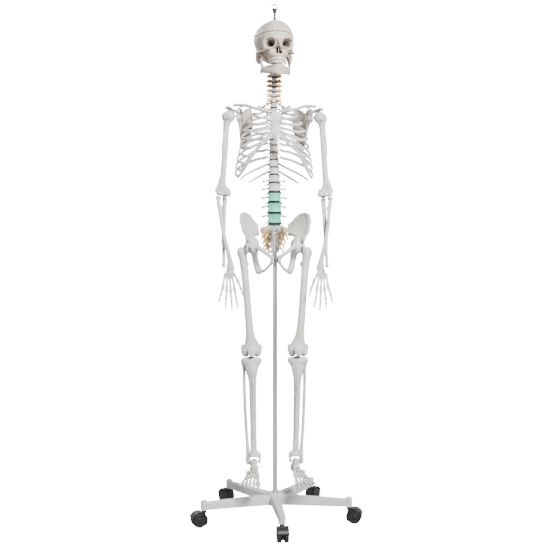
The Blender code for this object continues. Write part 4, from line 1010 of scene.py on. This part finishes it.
def vertebra(width, depth, height, arch, wing, tip, thick, hollow=0.0):
    """Body with rims, arch round the canal, side processes, joint facets and spine.

    width, depth: half sizes of the body; wing: tip of a side process (x, y behind the body, z);
    tip: end of the spine (y behind the body, z, half height).
    """
    half = height / 2
    b = Bone(2.5, 0.2)
    b.add(drum((0, 0, 0), (width, depth), height, width * 0.13, 1.2), 0)
    back = depth + arch
    with b.both_sides():
        root = spot(width * 0.58, depth * 0.7, half * 0.32)
        bend = spot(width * 0.58 + 2.5, depth + arch * 0.4, half * 0.2)
        b.add(rod(root, bend, (thick * 0.85, thick * 1.15)))
        b.add(sweep((bend, (width * 0.34, depth + arch * 0.8, -half * 0.05), (0, back, -half * 0.15)),
                    (thick * 0.7, thick * 1.5)), 3)
        end = spot(wing[0], depth + wing[1], wing[2])
        b.add(sweep((bend, (bend + end) / 2, end), [thick * 1.0, thick * 0.72, thick * 0.95], UP, 2), 3)
        b.add(ball(end, thick * 1.15), 2)
        facet = spot(width * 0.64, depth + arch * 0.52, 0)
        b.add(ball(facet + (0, 0.5, half * 0.62), (thick * 1.15, thick * 0.85, half * 0.5), (-12, 0, 0)), 2)
        b.add(ball(facet + (-1, 1.5, -half * 0.62), (thick * 1.05, thick * 0.85, half * 0.5), (-12, 0, 0)), 2)
    end = spot(0, depth + tip[0], tip[1])
    start = spot(0, back - 1, -half * 0.1)
    sizes = [(thick * 0.75, tip[2] * 1.05), (thick * 0.55, tip[2] * 0.85), (thick * 0.8, tip[2])]
    b.add(sweep((start, (start + end) / 2, end), sizes, UP, 2), 3)
    canal = depth + arch * 0.42
    b.cut(rod((0, canal, -height), (0, canal, height), (width * 0.5, arch * 0.34), BACK), 1)
    if hollow:
        with b.both_sides():
            b.cut(rod((hollow, 2.5, -height), (hollow, 2.5, height), 2.0), 0.5)
    return b


def disc(below, above, radii, thin):
    """Flat pad between two vertebra centres given as (y, z, tilt)."""
    y, z, tilt = [(a + c) / 2 for a, c in zip(below, above)]
    pad = Bone(0, 0.1)
    pad.add(drum((0, 0, 0), radii, thin, -1.0, min(1.2, thin * 0.3)))
    return solid(pad, min(1.3, thin * 0.3), spine_place(y, z, tilt))


def roots(y, z, tilt, start, end, thick):
    """Pair of nerves leaving the canal below a vertebra."""
    nerve = Bone(1, 0.1)
    with nerve.both_sides():
        a, c = spot(*start), spot(*end)
        nerve.add(sweep((a, (a + c) / 2 + (0, -1.5, 1), c), [thick, thick * 1.35, thick * 0.8, thick * 0.6]))
    return solid(nerve, max(0.7, thick * 0.4), spine_place(y, z, tilt))


def neck_vertebra(label, y, z, tilt, above):
    """One of the lower five neck vertebrae, with the disc up to the one above."""
    longer = {"c7": 38, "c6": 30}.get(label, 23)
    place = spine_place(y, z, tilt)
    b = vertebra(10.0, 7.2, 11.6, 15, (25, 1, -1), (longer, -7, 2.6), 2.7, 18.0)
    with b.both_sides():
        b.add(sweep(((8, 0, 0), (17, -2.5, -1), (23, -1, -2)), [3.2, 2.2, 2.6], UP, 2), 2)
        b.cut(rod((17.8, 2, -20), (17.8, 2, 20), 2.4), 0.5)
    has_artery = label != "c7"
    if has_artery:
        with b.both_sides():
            b.add(ball((2.6, 7.2 + longer, -8), (2.2, 3, 2.2)), 1.5)
    parts = [(BONE, solid(b, 1.2, place))]
    parts.append((ORANGE, roots(y, z, tilt, (9, 4, -7), (27.5, -7, -9.5), 3.5)))
    parts.append((DISC, disc((y, z, tilt), above, (9.6, 7.0), 3.8)))
    if has_artery:
        vessel = Bone(0, 0)
        with vessel.both_sides():
            vessel.add(sweep(((17.8, 1.6, -7.6), (18.2, 1.0, 0), (17.8, 1.8, 7.6)), 2.2, BACK, 2))
        parts.append((ARTERY, solid(vessel, 0.8, place)))
    return parts


def axis_vertebra():
    b = vertebra(10.0, 7.6, 13.5, 16, (24, 0, -3), (26, -4, 4.0), 3.0)
    with b.both_sides():
        b.add(ball((11, -1, 6), (8.5, 8.5, 3.6)), 2)
        b.add(rod((9, 1, 0), (20, 0, -3), [4, 3]), 2)
        b.add(ball((3, 33.5, -5), (2.6, 3.4, 3)), 1.5)
    b.add(sweep(((0, 1, 4), (0, 1, 17), (0, 2, 25.5)), [4.4, 4.2, 3.4], BACK, 2), 3)
    vessel = Bone(0, 0)
    with vessel.both_sides():
        vessel.add(sweep(((18, 1.5, -9), (22.5, 0, -2), (24, 1, 6.5)), 1.9, BACK, 3))
    place = spine_place(*AXIS[1:])
    return [(BONE, solid(b, 1.3, place)), (ARTERY, solid(vessel, 0.8, place)),
            (ORANGE, roots(*AXIS[1:], (9, 5, -8), (26, -6, -10.5), 3.4))]


def atlas_vertebra():
    b = Bone(2.5, 0.2)
    with b.both_sides():
        b.add(ball((19, 2, 0), (8.5, 11.5, 5.0)))
        arc = ((0, -11, 0), (11, -8, 0), (19, 0, 0), (19, 16, 0), (10, 28, 0), (0, 31, 0))
        b.add(sweep(arc, (2.8, 3.6)))
        b.add(rod((22, 5, 0), (36, 8, -1), [3.6, 3.2]))
        b.cut(ball((19, 1, 8), (6.5, 9, 5)), 1)
        b.cut(rod((28, 6, -9), (28, 6, 9), 2.4), 0.5)
    b.add(ball((0, -12.5, 0), (3, 2.2, 3.5)), 1.5)
    return [(BONE, solid(b, 1.3, HEAD @ spine_place(25, 1587, -6)))]


def chest_spine():
    """Twelve vertebrae with their dark discs, thin yellow nerves and two pairs of floating ribs."""
    parts = []
    for index, (_, y, z, tilt) in enumerate(CHEST):
        grow = index / 11
        pitch = CHEST_PITCH if index < 8 else LOW_CHEST_PITCH
        width, depth = 13.0 + 5.0 * grow, 9.6 + 4.5 * grow
        drop = -20 if 3 < index < 9 else -12
        b = vertebra(width, depth, pitch * CHEST_FILL, 13, (25 - 8 * grow, 10, 2),
                     (33 - 4 * grow, drop, 4.0), 2.9)
        parts.append((BONE, solid(b, 1.5, spine_place(y, z, tilt))))
        above = CHEST[index - 1][1:] if index else NECK[0][1:]
        parts.append((DISC, disc((y, z, tilt), above, (width - 0.6, depth - 0.6),
                                 pitch * (1 - CHEST_FILL) + 1)))
        if index < 11:
            end = (34 if index > 5 else 30, 6, -pitch * 0.62)
            parts.append((NERVE, roots(y, z, tilt, (11, depth + 3, -pitch * 0.42), end, 1.5)))
    for rib in FLOATING_RIBS:
        b = Bone(1, 0.25)
        b.add(sweep(rib, [(3.2, 4.6), (2.8, 5.0), (2.6, 4.8), (2.2, 4.0), (1.8, 3.0)], UP, 4))
        shell = solid(b, 1.5)
        parts += [(BONE, shell), (BONE, mirror(shell))]
    return parts


def loin_vertebra(index):
    _, y, z, tilt = LOINS[index]
    size = min(index, 3)
    height = LOIN_HEIGHTS[index]
    b = vertebra(22 + size * 1.4, 15.6 + size * 0.5, height, 18, (42 - abs(size - 2) * 2, 10, 0),
                 (45, -4, 8.0), 4.0)
    parts = [(TEAL if index > 1 else BONE, solid(b, 1.7, spine_place(y, z, tilt)))]
    above = LOINS[index - 1][1:] if index else CHEST[-1][1:]
    height_above = LOIN_HEIGHTS[index - 1] if index else LOW_CHEST_PITCH * CHEST_FILL
    gap = math.dist((y, z), above[:2]) - height / 2 - height_above / 2
    thin = gap - BEND_ROOM
    lift = Vector((0, 0, height / 2 + 0.2 + thin / 2))
    middle = spot(0, y, z) + np.array(Matrix.Rotation(math.radians(tilt), 3, "X") @ lift)
    pad = Bone(0, 0.1)
    pad.add(drum((0, 0, 0), (20.8 + size * 1.3, 14.6 + size * 0.5), thin, -0.9, 1.2))
    parts.append((TEAL_DISC if index > 1 else DISC, solid(pad, 1.2, spine_place(middle[1], middle[2], tilt))))
    parts.append((NERVE, roots(y, z, tilt, (17, 24, -height * 0.45), (34, 12, -height * 0.95), 2.3)))
    return parts


def sacrum():
    b = Bone(5, 0.25)
    path = ((0, 30, 1019), (0, 46, 1004), (0, 62, 982), (0, 72, 960), (0, 74, 938))
    b.add(sweep(path, [(44, 13), (45, 12), (36, 10), (29, 8), (20, 6.5)], BACK, 4))
    b.add(drum((0, 28, 1026), (24, 16), 15, 1, 2, (20, 0, 0)))
    with b.both_sides():
        b.add(ball((34, 44, 1014), (17, 16, 14), (20, 0, 0)))
        b.add(sweep(((14, 54, 1034), (16, 66, 1012), (14, 80, 985)), 4.2), 4)
        b.add(ball((15, 57, 1040), (5, 4, 6)), 3)
    b.add(sweep(((0, 62, 1024), (0, 76, 1003), (0, 86, 975)), (2.8, 4.5), BACK), 4)
    for z, y, x in ((1004, 44, 19), (984, 59, 16.5), (965, 69, 14), (947, 73, 11.5)):
        with b.both_sides():
            b.cut(rod((x, y - 20, z - 6), (x - 2, y + 26, z + 6), [4.8, 3.2]), 1.6)
        b.cut(sweep(((-x, y - 13.5, z + 9), (0, y - 12.5, z + 9), (x, y - 13.5, z + 9)), 1.5, UP, 1), 1.5)
    b.cut(rod((0, 58, 1036), (0, 66, 1015), (9, 4), BACK), 2)
    tail = Bone(0.8, 0.25)
    for center, radii in (((0, 71, 925), (9, 5, 6)), ((0, 67, 915.5), (6.5, 4.2, 5)),
                          ((0, 63, 908), (4.6, 3.6, 4.2))):
        tail.add(ball(center, radii))
    pad = Bone(0, 0.1)
    pad.add(drum((0, 0, 0), (23.5, 15.6), 6.5, -0.9, 1.2))
    parts = [(BONE, solid(b, 1.9)), (BONE, solid(tail, 1.3))]
    parts.append((TEAL_DISC, solid(pad, 1.2, spine_place(25, 1036.5, 17))))
    for z, y, x, length in ((1025, 14, 26, 46), (1004, 33, 20, 40), (983, 47, 17, 34), (962, 59, 14, 26)):
        nerve = Bone(1, 0.2)
        with nerve.both_sides():
            line = ((x, y + 8, z), (x + 6, y - 4, z - 7), (x + 15, y - 6, z - length * 0.6),
                    (x + 20, y + 2, z - length))
            nerve.add(sweep(line, [4.2, 4.8, 4.0, 2.6]))
        parts.append((PALE_NERVE, solid(nerve, 1.2)))
    return parts


# ---- chest
# Ribs 1 to 10: half width at the angle, greatest half width and its z, front end, cartilage end.
RIBS = (
    (34, 54, 1456, (36, -12, 1428), (15, -22, 1410)),
    (48, 80, 1424, (55, -31, 1402), (15, -30, 1396)),
    (58, 98, 1394, (64, -42, 1376), (15, -36, 1381)),
    (64, 110, 1366, (70, -49, 1350), (15, -41, 1367)),
    (68, 118, 1338, (78, -52, 1322), (15, -45, 1354)),
    (70, 123, 1312, (88, -50, 1293), (15, -48, 1344)),
    (72, 127, 1288, (99, -42, 1265), (15, -50, 1336)),
    (72, 132, 1264, (110, -30, 1241), (58, -52, 1304)),
    (68, 136, 1241, (121, -14, 1219), (76, -48, 1276)),
    (62, 138, 1219, (130, 2, 1199), (94, -38, 1247)),
)
FLOATING_RIBS = (
    ((18, 50, 1253), (42, 70, 1243), (80, 68, 1225), (112, 46, 1203), (122, 24, 1189)),
    ((18, 45, 1225), (44, 62, 1212), (72, 62, 1196), (90, 54, 1184)),
)


def rib_points(index):
    """Control points of rib 1 to 10 from the spine to the front end."""
    angle_x, half_width, wide_z, front, _ = RIBS[index]
    _, y, z, _ = CHEST[index]
    grow = index / 11
    front = spot(*front)
    head = spot(19.5 + 5.5 * grow, y + 9, z + 2)
    tubercle = spot(35 - 2 * grow, y + 23, z - 2)
    angle = spot(angle_x, y + 31, z - 7)
    wide = spot(half_width, (angle[1] + front[1]) / 2 + 4, wide_z)
    behind = angle + (wide - angle) * (0.74, 0.40, 0.52)
    before = front + (wide - front) * (0.72, 0.34, 0.42)
    return [head, tubercle, angle, behind, wide, before, front]


def rib_cage():
    """Ten pairs of ribs, their cartilages, and the breast bone."""
    parts = []
    for index, (_, _, _, front, joint) in enumerate(RIBS):
        rib = Bone(1, 0.25)
        flat = [(2.9, 4.4), (2.7, 5.2), (2.5, 5.4), (2.5, 5.4), (2.6, 5.4), (3.0, 5.6)]
        if index == 0:
            flat = [(4.6, 3.0), (6.2, 2.6), (6.6, 2.6), (6.0, 3.0)]
        rib.add(sweep(rib_points(index), flat, UP, 4))
        rib.add(ball(rib_points(index)[1] + (0, 2, 0), 4.2), 3)
        front, joint = spot(*front), spot(*joint)
        dip = -3 if index > 3 else 0
        middle = (front + joint) / 2 + (0, -3, dip)
        gristle = Bone(1, 0.2)
        wide = [(3.4, 5.4), (3.2, 4.8), (3.3, 5.4)]
        gristle.add(sweep((front + (front - middle) * 0.05, middle, joint), wide, UP, 5))
        for material, shape in ((BONE, rib), (CARTILAGE, gristle)):
            shell = solid(shape, 1.5)
            parts += [(material, shell), (material, mirror(shell))]
    b = Bone(3, 0.3)
    upper = ((0, -23, 1421), (0, -25, 1410), (0, -29, 1398), (0, -31, 1392))
    b.add(sweep(upper, [(17, 5), (24, 5), (18, 4.6), (12.5, 4.4)], BACK, 3))
    lower = ((0, -33, 1388), (0, -37, 1374), (0, -44, 1352), (0, -48.5, 1339))
    b.add(sweep(lower, [(12.5, 4.4), (14.5, 4.4), (17.5, 4.4), (14, 4)], BACK, 3), 2)
    tip = ((0, -49, 1336), (0, -50.5, 1329), (0, -51, 1321))
    b.add(sweep(tip, [(7, 3.4), (6, 2.8), (4.4, 2.4)], BACK, 2), 2)
    b.cut(ball((0, -27, 1428), (9, 8, 5)), 2)
    for index in range(1, 7):
        with b.both_sides():
            _, y, z = RIBS[index][4]
            b.cut(ball((19, y, z), (4, 8, 4)), 1.5)
    with b.both_sides():
        b.cut(ball((21, -25, 1421), (7, 8, 5)), 2)
    b.cut(rod((-20, -35, 1391.5), (20, -35, 1391.5), 1.3), 1.2)
    b.cut(rod((0, -60, 1344), (0, -36, 1344), 2.6), 1)
    parts.append((BONE, solid(b, 1.5)))
    return parts


def clavicle():
    b = Bone(4, 0.3)
    line = ((28, -27, 1427), (48, -37, 1428), (75, -30, 1435), (98, -14, 1446), (125, 3, 1452),
            (144, 9, 1451))
    b.add(sweep(line, [(7, 7), (6.4, 6.6), (5.8, 5.8), (6, 5.6), (7.6, 5.4), (8.6, 5)], UP, 4))
    b.add(ball((27, -26, 1427), (6, 8, 8.5)))
    b.add(ball((118, 4, 1446), (7, 4, 3)), 3)
    return solid(b, 1.6)


def scapula():
    b = Bone(4, 0.25)
    rows = (
        ((106, 86, 1306), (107, 86, 1307), (108, 85, 1308), (109, 84, 1309)),
        ((92, 95, 1336), (102, 90, 1336), (110, 80, 1336), (116, 70, 1336)),
        ((80, 101, 1372), (94, 92, 1372), (108, 76, 1372), (119, 50, 1372)),
        ((74, 100, 1410), (92, 88, 1411), (110, 64, 1411), (126, 32, 1411)),
        ((77, 96, 1432), (90, 86, 1434), (106, 68, 1434), (116, 50, 1430)),
        ((82, 90, 1456), (88, 84, 1454), (100, 72, 1448), (108, 58, 1440)),
    )
    b.add(plate(rows, 3.6))
    b.add(sweep([row[-1] for row in rows[:4]], [3.6, 4.2, 5, 7.5], BACK, 3))
    b.add(sweep([row[0] for row in rows], 3.0, BACK, 3))
    b.add(sweep([row[0] for row in rows[4:]] + [rows[5][3]], 2.6, BACK, 3))
    b.add(rod((118, 46, 1410), (129, 18, 1412), [8, 10.5]), 5)
    b.add(ball((132, 16, 1412), (5, 12.5, 17), (0, 0, 20)), 4)
    b.cut(ball(SHOULDER, 25.6), 1.5)
    ridge = ((76, 104, 1424), (96, 96, 1430), (118, 82, 1436), (140, 62, 1442), (159, 42, 1445),
             (165, 22, 1445), (161, 6, 1444))
    b.add(sweep(ridge, [(2.2, 5.5), (2.2, 7.5), (2.6, 7.5), (4.4, 6.5), (9, 5.4), (11, 5.2), (8.5, 4.6)],
                UP, 4), 4)
    hook = ((118, 40, 1417), (118, 24, 1434), (126, 3, 1439), (133, -12, 1430))
    b.add(sweep(hook, [6.5, 5.6, 5, 4.4], UP, 4), 4)
    b.cut(ball((113, 60, 1441), (5, 9, 5)), 2)
    b.cut(rod(SHOULDER - (34, 0, 0), SHOULDER, PIN_RADIUS + FIT), 0.3)
    return solid(b, 1.8)


# ---- pelvis
def hip_bone():
    rows = (
        ((97, -26, 978), (92, -4, 986), (80, 24, 998), (64, 46, 1000), (58, 62, 1002)),
        ((106, -34, 994), (104, -8, 1008), (92, 24, 1018), (72, 50, 1014), (58, 70, 1012)),
        ((112, -38, 1006), (116, -14, 1032), (106, 20, 1046), (82, 54, 1034), (58, 78, 1022)),
        ((113, -39, 1009), (121, -18, 1046), (116, 14, 1070), (92, 52, 1068), (60, 82, 1034)),
    )
    b = Bone(7, 0.3)
    b.add(plate(rows, [6.5, 4.2, 4.0, 5.5], 4))
    b.add(sweep(rows[-1], [5, 5.6, 4.6, 5.2, 5], UP, 4), 4)
    b.add(sweep(((97, -27, 976), (105, -34, 993), (113, -40, 1009)), [6.5, 4.6, 6]), 4)
    b.add(ball((99, -29, 982), (6.5, 6.5, 8)), 4)
    b.add(sweep(((58, 60, 1000), (58, 76, 1012), (59, 83, 1034)), [7, 6, 6]), 5)
    b.add(ball((80, 6, 958), (25, 31, 32)))
    b.add(sweep(((88, -10, 980), (78, 10, 992), (64, 44, 1002)), (6, 8)), 6)
    upper_branch = ((72, -14, 960), (48, -30, 940), (26, -35, 924), (13, -32, 914))
    b.add(sweep(upper_branch, [9.5, 7.2, 6.5, 7.5], UP, 4))
    b.add(ball((12, -31, 908), (7, 8, 15)), 4)
    b.add(sweep(((72, 20, 942), (68, 34, 914), (62, 32, 884), (56, 24, 870)), [14, 11, 11.5, 12.5], UP, 4))
    b.add(ball((56, 28, 868), (11, 13, 12)), 4)
    b.add(sweep(((54, 18, 864), (38, -2, 870), (22, -20, 886), (13, -29, 899)), [7, 5, 5, 6], UP, 4), 4)
    b.add(ball((61, 50, 925), (3.5, 8, 4.5)), 4)
    b.cut(ball(HIP + (1.5, 0, -1), 25.3), 1.2)
    rim = [HIP + (12, 26 * math.sin(t), 27 * math.cos(t)) for t in np.radians(np.arange(-150, 160, 30))]
    b.add(sweep(rim, 3.6, ACROSS, 3), 4)
    b.cut(ball(HIP + (1.5, 0, -1), 25.3), 0.8)
    b.cut(ball(HIP + (6, -2, -27), (9, 8, 9)), 3)
    b.cut(rod(HIP - (34, 0, 0), HIP, PIN_RADIUS + FIT), 0.3)
    return solid(b, 1.9)


def symphysis():
    """Grey cartilage between the two pubic bones."""
    b = Bone(2, 0.15)
    b.add(sweep(((0, -33, 921), (0, -35, 908), (0, -31, 894)), [(5.0, 6), (5.6, 7.5), (5.0, 5.5)], BACK, 3))
    return solid(b, 1.2)


# ---- stand
ARM_REACH = 262.0
ARM_ANGLES = (0, 72, 144, 216, 288)
WHEEL_RADIUS = 24.0
WHEEL_WIDTH = 14.0
CASTER_WIDTH = 39.0
CASTER_TRAIL = 20.0
LOCK_Z = 70.0
POLE_RADIUS, POLE_FOOT, POLE_TOP = 8.0, 56.0, 1022.0


def arm_turn(angle):
    return Matrix.Rotation(math.radians(angle), 4, "Z")


def tapered(start, end, size0, size1, edge):
    """Straight bar of rounded oblong section along -Y whose (width, height) changes evenly."""
    a, b = np.array(start, float), np.array(end, float)
    s0, s1 = np.array(size0, float) / 2, np.array(size1, float) / 2
    length = np.linalg.norm(b - a)
    along = (b - a) / length
    tall = np.cross(ACROSS, along)
    tall *= np.sign(tall[2])

    def field(p, pad):
        off = p - a
        t = off @ along
        section = s0 + (s1 - s0) * np.clip(t / length, 0, 1)[:, None]
        gaps = np.abs(np.stack([off[:, 0], off @ tall, t - length / 2], axis=1))
        return outside(gaps - np.column_stack([section, np.full(len(p), length / 2)]) + edge, edge)
    reach = np.linalg.norm(s0) + edge
    return field, np.minimum(a, b) - reach, np.maximum(a, b) + reach


def base():
    arm = Bone(3, 0)
    arm.add(tapered((0, -14, 66), (0, -ARM_REACH, 68), (34, 34), (20, 26), 4.0))
    arm.add(drum((0, -ARM_REACH, 69.75), 11.5, 32.5, 0, 2), 2)
    arm.cut(rod((0, -ARM_REACH, 40), (0, -ARM_REACH, 79.5), 5.4), 0.3)
    arm.cut(brick((0, -132, 50), (13, 200, 16), edge=2), 2)
    hub = Bone(2.5, 0)
    hub.add(drum((0, 0, 67.5), 30, 41, 0, 3))
    hub.add(drum((0, 0, 84), 19, 12, 0, 2), 3)
    hub.cut(drum((0, 0, 120), 8.4, 132.8, 0, 0.3), 0.3)
    hub.cut(rod((0, 0, LOCK_Z), (0, 80, LOCK_Z), 3.4), 0.3)
    cap = Bone(0.5, 0)
    cap.add(drum((0, -ARM_REACH, 86.6), 8.5, 1.6, 0, 0.6))
    parts = [(COAT, solid(hub, 1.3))]
    for shell in (solid(arm, 1.5), solid(cap, 0.7)):
        parts += [(COAT, moved(shell, arm_turn(angle))) for angle in ARM_ANGLES]
    return parts


def lock_screw():
    b = Bone(1, 0)
    b.add(rod((0, 9, LOCK_Z), (0, 56, LOCK_Z), 3.0))
    b.add(drum((0, 56, LOCK_Z), 9, 12, 0, 1.5, (90, 0, 0)))
    for t in np.radians(np.arange(0, 360, 45)):
        x, z = 10.6 * math.cos(t), LOCK_Z + 10.6 * math.sin(t)
        b.cut(rod((x, 48, z), (x, 64, z), 2.6), 0.5)
    return [(BLACK, solid(b, 0.8))]


def pole():
    low = [(POLE_FOOT + rise, POLE_RADIUS - cut) for rise, cut in ((0, 1.4), (0.5, 0.4), (1.5, 0), (6, 0))]
    high = [(POLE_TOP - drop, POLE_RADIUS - cut) for drop, cut in ((7, 0), (1.5, 0), (0.5, 0.4), (0, 1.4))]
    tube = lathe(low + high)
    collar = Bone(1, 0)
    collar.add(drum((0, 0, 1006), 10.5, 28, 0, 1.2))
    collar.add(brick((0, 10, 1008), (14, 14, 18), edge=1.5))
    collar.cut(ring((0, 0, 1006), 10.9, 0.9), 0.2)
    foot_ring = lathe(((90.5, 11.6), (90.9, 12.7), (92, 13), (94, 13), (95.1, 12.7), (95.5, 11.6)))
    parts = [(CHROME, tube), (CHROME, foot_ring), (CHROME, solid(collar, 1.1, polished=True))]
    parts.append((SPRING, screw((0, -10.8, 1013), 3.0, (90, 0, 0))))
    return parts


def caster_place(angle):
    """From the wheel's own frame, axle along x, to the stand."""
    axle = arm_turn(angle) @ Vector((0, -(ARM_REACH + CASTER_TRAIL), WHEEL_RADIUS))
    return Matrix.Translation(axle) @ arm_turn(angle)


def fork():
    """Hood over both wheels, a middle web and the swivel stem."""
    b = Bone(1.2, 0)
    outer, inner = WHEEL_RADIUS + 4.0, WHEEL_RADIUS + 1.6
    b.add(drum((0, 0, 0), outer, CASTER_WIDTH, 0, 1.6, (0, 90, 0)))
    b.cut(drum((0, 0, 0), inner, CASTER_WIDTH + 10, 0, 0.2, (0, 90, 0)), 0.3)
    b.cut(brick((0, -20, -26), (60, 90, 34), (-14, 0, 0), 0.3), 0.5)
    b.cut(brick((0, -40, -12), (60, 40, 40), (20, 0, 0), 0.3), 0.5)
    b.add(drum((0, 0, 0), 17, 7, 0, 1, (0, 90, 0)), 1)
    b.add(brick((0, 8, 13), (5.6, 22, 26), edge=0.8), 1)
    b.add(drum((0, CASTER_TRAIL, 25), 8, 9, 0, 1.5), 2)
    b.add(rod((0, CASTER_TRAIL, 8), (0, CASTER_TRAIL, 54), 5.0), 1)
    b.cut(rod((-30, 0, 0), (30, 0, 0), 3.4), 0.2)
    return b


def wheels():
    """Two discs on one axle: tread, side rim, recessed face and hub cap."""
    rubber, disc_face = Bone(0.5, 0), Bone(0.8, 0)
    with rubber.both_sides(), disc_face.both_sides():
        x = (CASTER_WIDTH / 2 - 0.5 - WHEEL_WIDTH / 2)
        rubber.add(drum((x, 0, 0), WHEEL_RADIUS, WHEEL_WIDTH, 0, 2.2, (0, 90, 0)))
        rubber.cut(drum((x + 7, 0, 0), 19.4, 6, 0, 0.4, (0, 90, 0)), 0.3)
        rubber.cut(ring((x - 2, 0, 0), WHEEL_RADIUS + 0.3, 0.9, (0, 90, 0)), 0.2)
        disc_face.add(drum((x + 4.2, 0, 0), 19.0, 3.6, 0, 0.8, (0, 90, 0)))
        disc_face.add(drum((x + 5.6, 0, 0), 6.5, 4.6, 0, 1.2, (0, 90, 0)))
        for t in np.radians(np.arange(0, 360, 60)):
            hole = (x + 6, 12.4 * math.cos(t), 12.4 * math.sin(t))
            disc_face.cut(ball(hole, (2.4, 2.8, 2.8)), 0.5)
    rubber.add(rod((-15, 0, 0), (15, 0, 0), 3.0))
    return [(TREAD, rubber, 1.1), (BLACK, disc_face, 0.9)]


def stand():
    piece("base_frame_shell", "base", base(), ["base_frame"])
    piece("lock_knob", "base", lock_screw(), ["base_lock_screw"])
    piece("pole_tube", "pelvis", pole(), ["pole"])
    hood = solid(fork(), 1.1)
    rolling = [(material, solid(shape, step)) for material, shape, step in wheels()]
    for number, angle in enumerate(ARM_ANGLES, 1):
        place = caster_place(angle)
        turning = [(material, moved(shell, place)) for material, shell in rolling]
        piece(f"caster_hood_{number}", f"caster_{number}", [(BLACK, moved(hood, place))],
              [f"caster_fork_{number}"])
        piece(f"caster_wheel_pair_{number}", f"wheels_{number}", turning, [f"caster_wheels_{number}"])


# ---- the whole model
stand()

piece("skull", "head", cranium(), ["cranium"])
piece("jaw_springs", "head", jaw_springs())
piece("skull_lid", "cap", skull_cap(), ["skull_cap"])
piece("eye_bolt", "cap", eye_hook(), ["eye_hook"])
piece("jaw", "jaw", mandible(), ["mandible"])
piece("atlas_bone", "atlas_vertebra", atlas_vertebra(), ["atlas"])
piece("axis_bone", "axis_vertebra", axis_vertebra(), ["axis"])
for row, above in zip(NECK, NECK[1:] + (AXIS,)):
    piece(f"neck_bone_{row[0]}", row[0], neck_vertebra(*row, above[1:]), [f"vertebra_{row[0]}"])
piece("chest_spine", "thorax", chest_spine(), ["thoracic_spine"])
piece("rib_basket", "thorax", rib_cage(), ["rib_cage"])
for number, row in enumerate(LOINS):
    piece(f"loin_bone_{row[0]}", row[0], loin_vertebra(number), [f"vertebra_{row[0]}"])
piece("sacrum_bone", "pelvis", sacrum(), ["sacrum"])
piece("pubic_disc", "pelvis", [(GREY_JOINT, symphysis())])

pair("collar_bone", "thorax", [(BONE, clavicle())], "clavicle")
pair("shoulder_blade", "thorax", [(BONE, scapula())], "scapula")
pair("upper_arm_bone", "upper_arm_{}", [(BONE, humerus())], "humerus")
pair("ulna_bone", "ulna_{}", [(BONE, ulna())], "ulna")
pair("radius_bone", "radius_{}", [(BONE, radius())], "radius")
pair("hand_bones", "hand_{}", hand(), "hand")
pair("pelvis_half", "pelvis", [(BONE, hip_bone())], "hip_bone")
pair("thigh_bone", "thigh_{}", [(BONE, femur())], "femur")
pair("knee_cap", "thigh_{}", [(BONE, patella())], "patella")
pair("shin_bones", "shin_{}", [(BONE, tibia()), (BONE, fibula())], "tibia_fibula")
pair("foot_bones", "foot_{}", [(BONE, shell) for shell in foot()], "foot")

for name in ("shoulder_pin", "hip_pin"):
    for label, _ in SIDES:
        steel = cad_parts[f"{name}_{label}"]
        steel.data.materials.clear()
        steel.data.materials.append(CHROME)


# ---- floor, light and camera
# Strengths seen by the camera, seen in polished metal, and given to everything else.
FLOOR_GLOW = (16.0, 0.4, 0.05)
SKY_GLOW = (17.0, 0.9, 0.14)


def glow(tree, seen, mirrored, given):
    """Strength `seen` by the camera, `mirrored` in polished metal and `given` to everything else."""
    path = tree.nodes.new("ShaderNodeLightPath")
    total = given
    for ray, strength in (("Is Camera Ray", seen), ("Is Glossy Ray", mirrored)):
        node = tree.nodes.new("ShaderNodeMath")
        node.operation = "MULTIPLY_ADD"
        for socket, value in zip(node.inputs, (path.outputs[ray], strength - given, total)):
            feed(tree, socket, value)
        total = node.outputs["Value"]
    return total


def studio():
    """Wide pale floor under an even white sky, with three soft lights."""
    bpy.ops.mesh.primitive_circle_add(vertices=64, radius=30, fill_type="NGON", location=(0, 0, 0))
    floor = bpy.context.object
    floor.name = "floor"
    paper = smooth_paint("floor_paper", (150, 150, 150), 0.75, 0.01, 0.0, 60, 0.02)
    shader = paper.node_tree.nodes["Principled BSDF"]
    shader.inputs["Emission Color"].default_value = (1, 1, 1, 1)
    paper.node_tree.links.new(glow(paper.node_tree, *FLOOR_GLOW), shader.inputs["Emission Strength"])
    floor.data.materials.append(paper)

    world = bpy.data.worlds.new("studio_air")
    bpy.context.scene.world = world
    world.use_nodes = True
    sky = world.node_tree.nodes["Background"]
    sky.inputs["Color"].default_value = (1, 1, 1, 1)
    world.node_tree.links.new(glow(world.node_tree, *SKY_GLOW), sky.inputs["Strength"])
    lamps = (
        ("key", (1.2, -3.2, 3.0), 1.0, 340),
        ("fill", (-2.8, -2.4, 1.2), 1.2, 20),
        ("rim", (-1.6, 2.4, 2.8), 1.2, 60),
    )
    for name, place, size, power in lamps:
        lamp = bpy.data.lights.new(name, "AREA")
        lamp.size = size
        lamp.energy = power
        obj = bpy.data.objects.new(name, lamp)
        obj.location = place
        obj.rotation_euler = (Vector((0, 0, 1.0)) - Vector(place)).to_track_quat("-Z", "Y").to_euler()
        bpy.context.collection.objects.link(obj)


def camera():
    """Level view from the front, a little from the figure's right."""
    distance, height, azimuth, half_view = 3.0, 0.854, math.radians(-5), 17.9
    lens = bpy.data.cameras.new("view")
    lens.angle = math.radians(2 * half_view)
    lens.clip_end = 50
    obj = bpy.data.objects.new("view", lens)
    centre_y = POLE_Y * MM
    obj.location = (math.sin(azimuth) * distance, centre_y - math.cos(azimuth) * distance, height)
    obj.rotation_euler = (math.radians(90), 0, azimuth)
    bpy.context.collection.objects.link(obj)
    bpy.context.scene.camera = obj


studio()
camera()
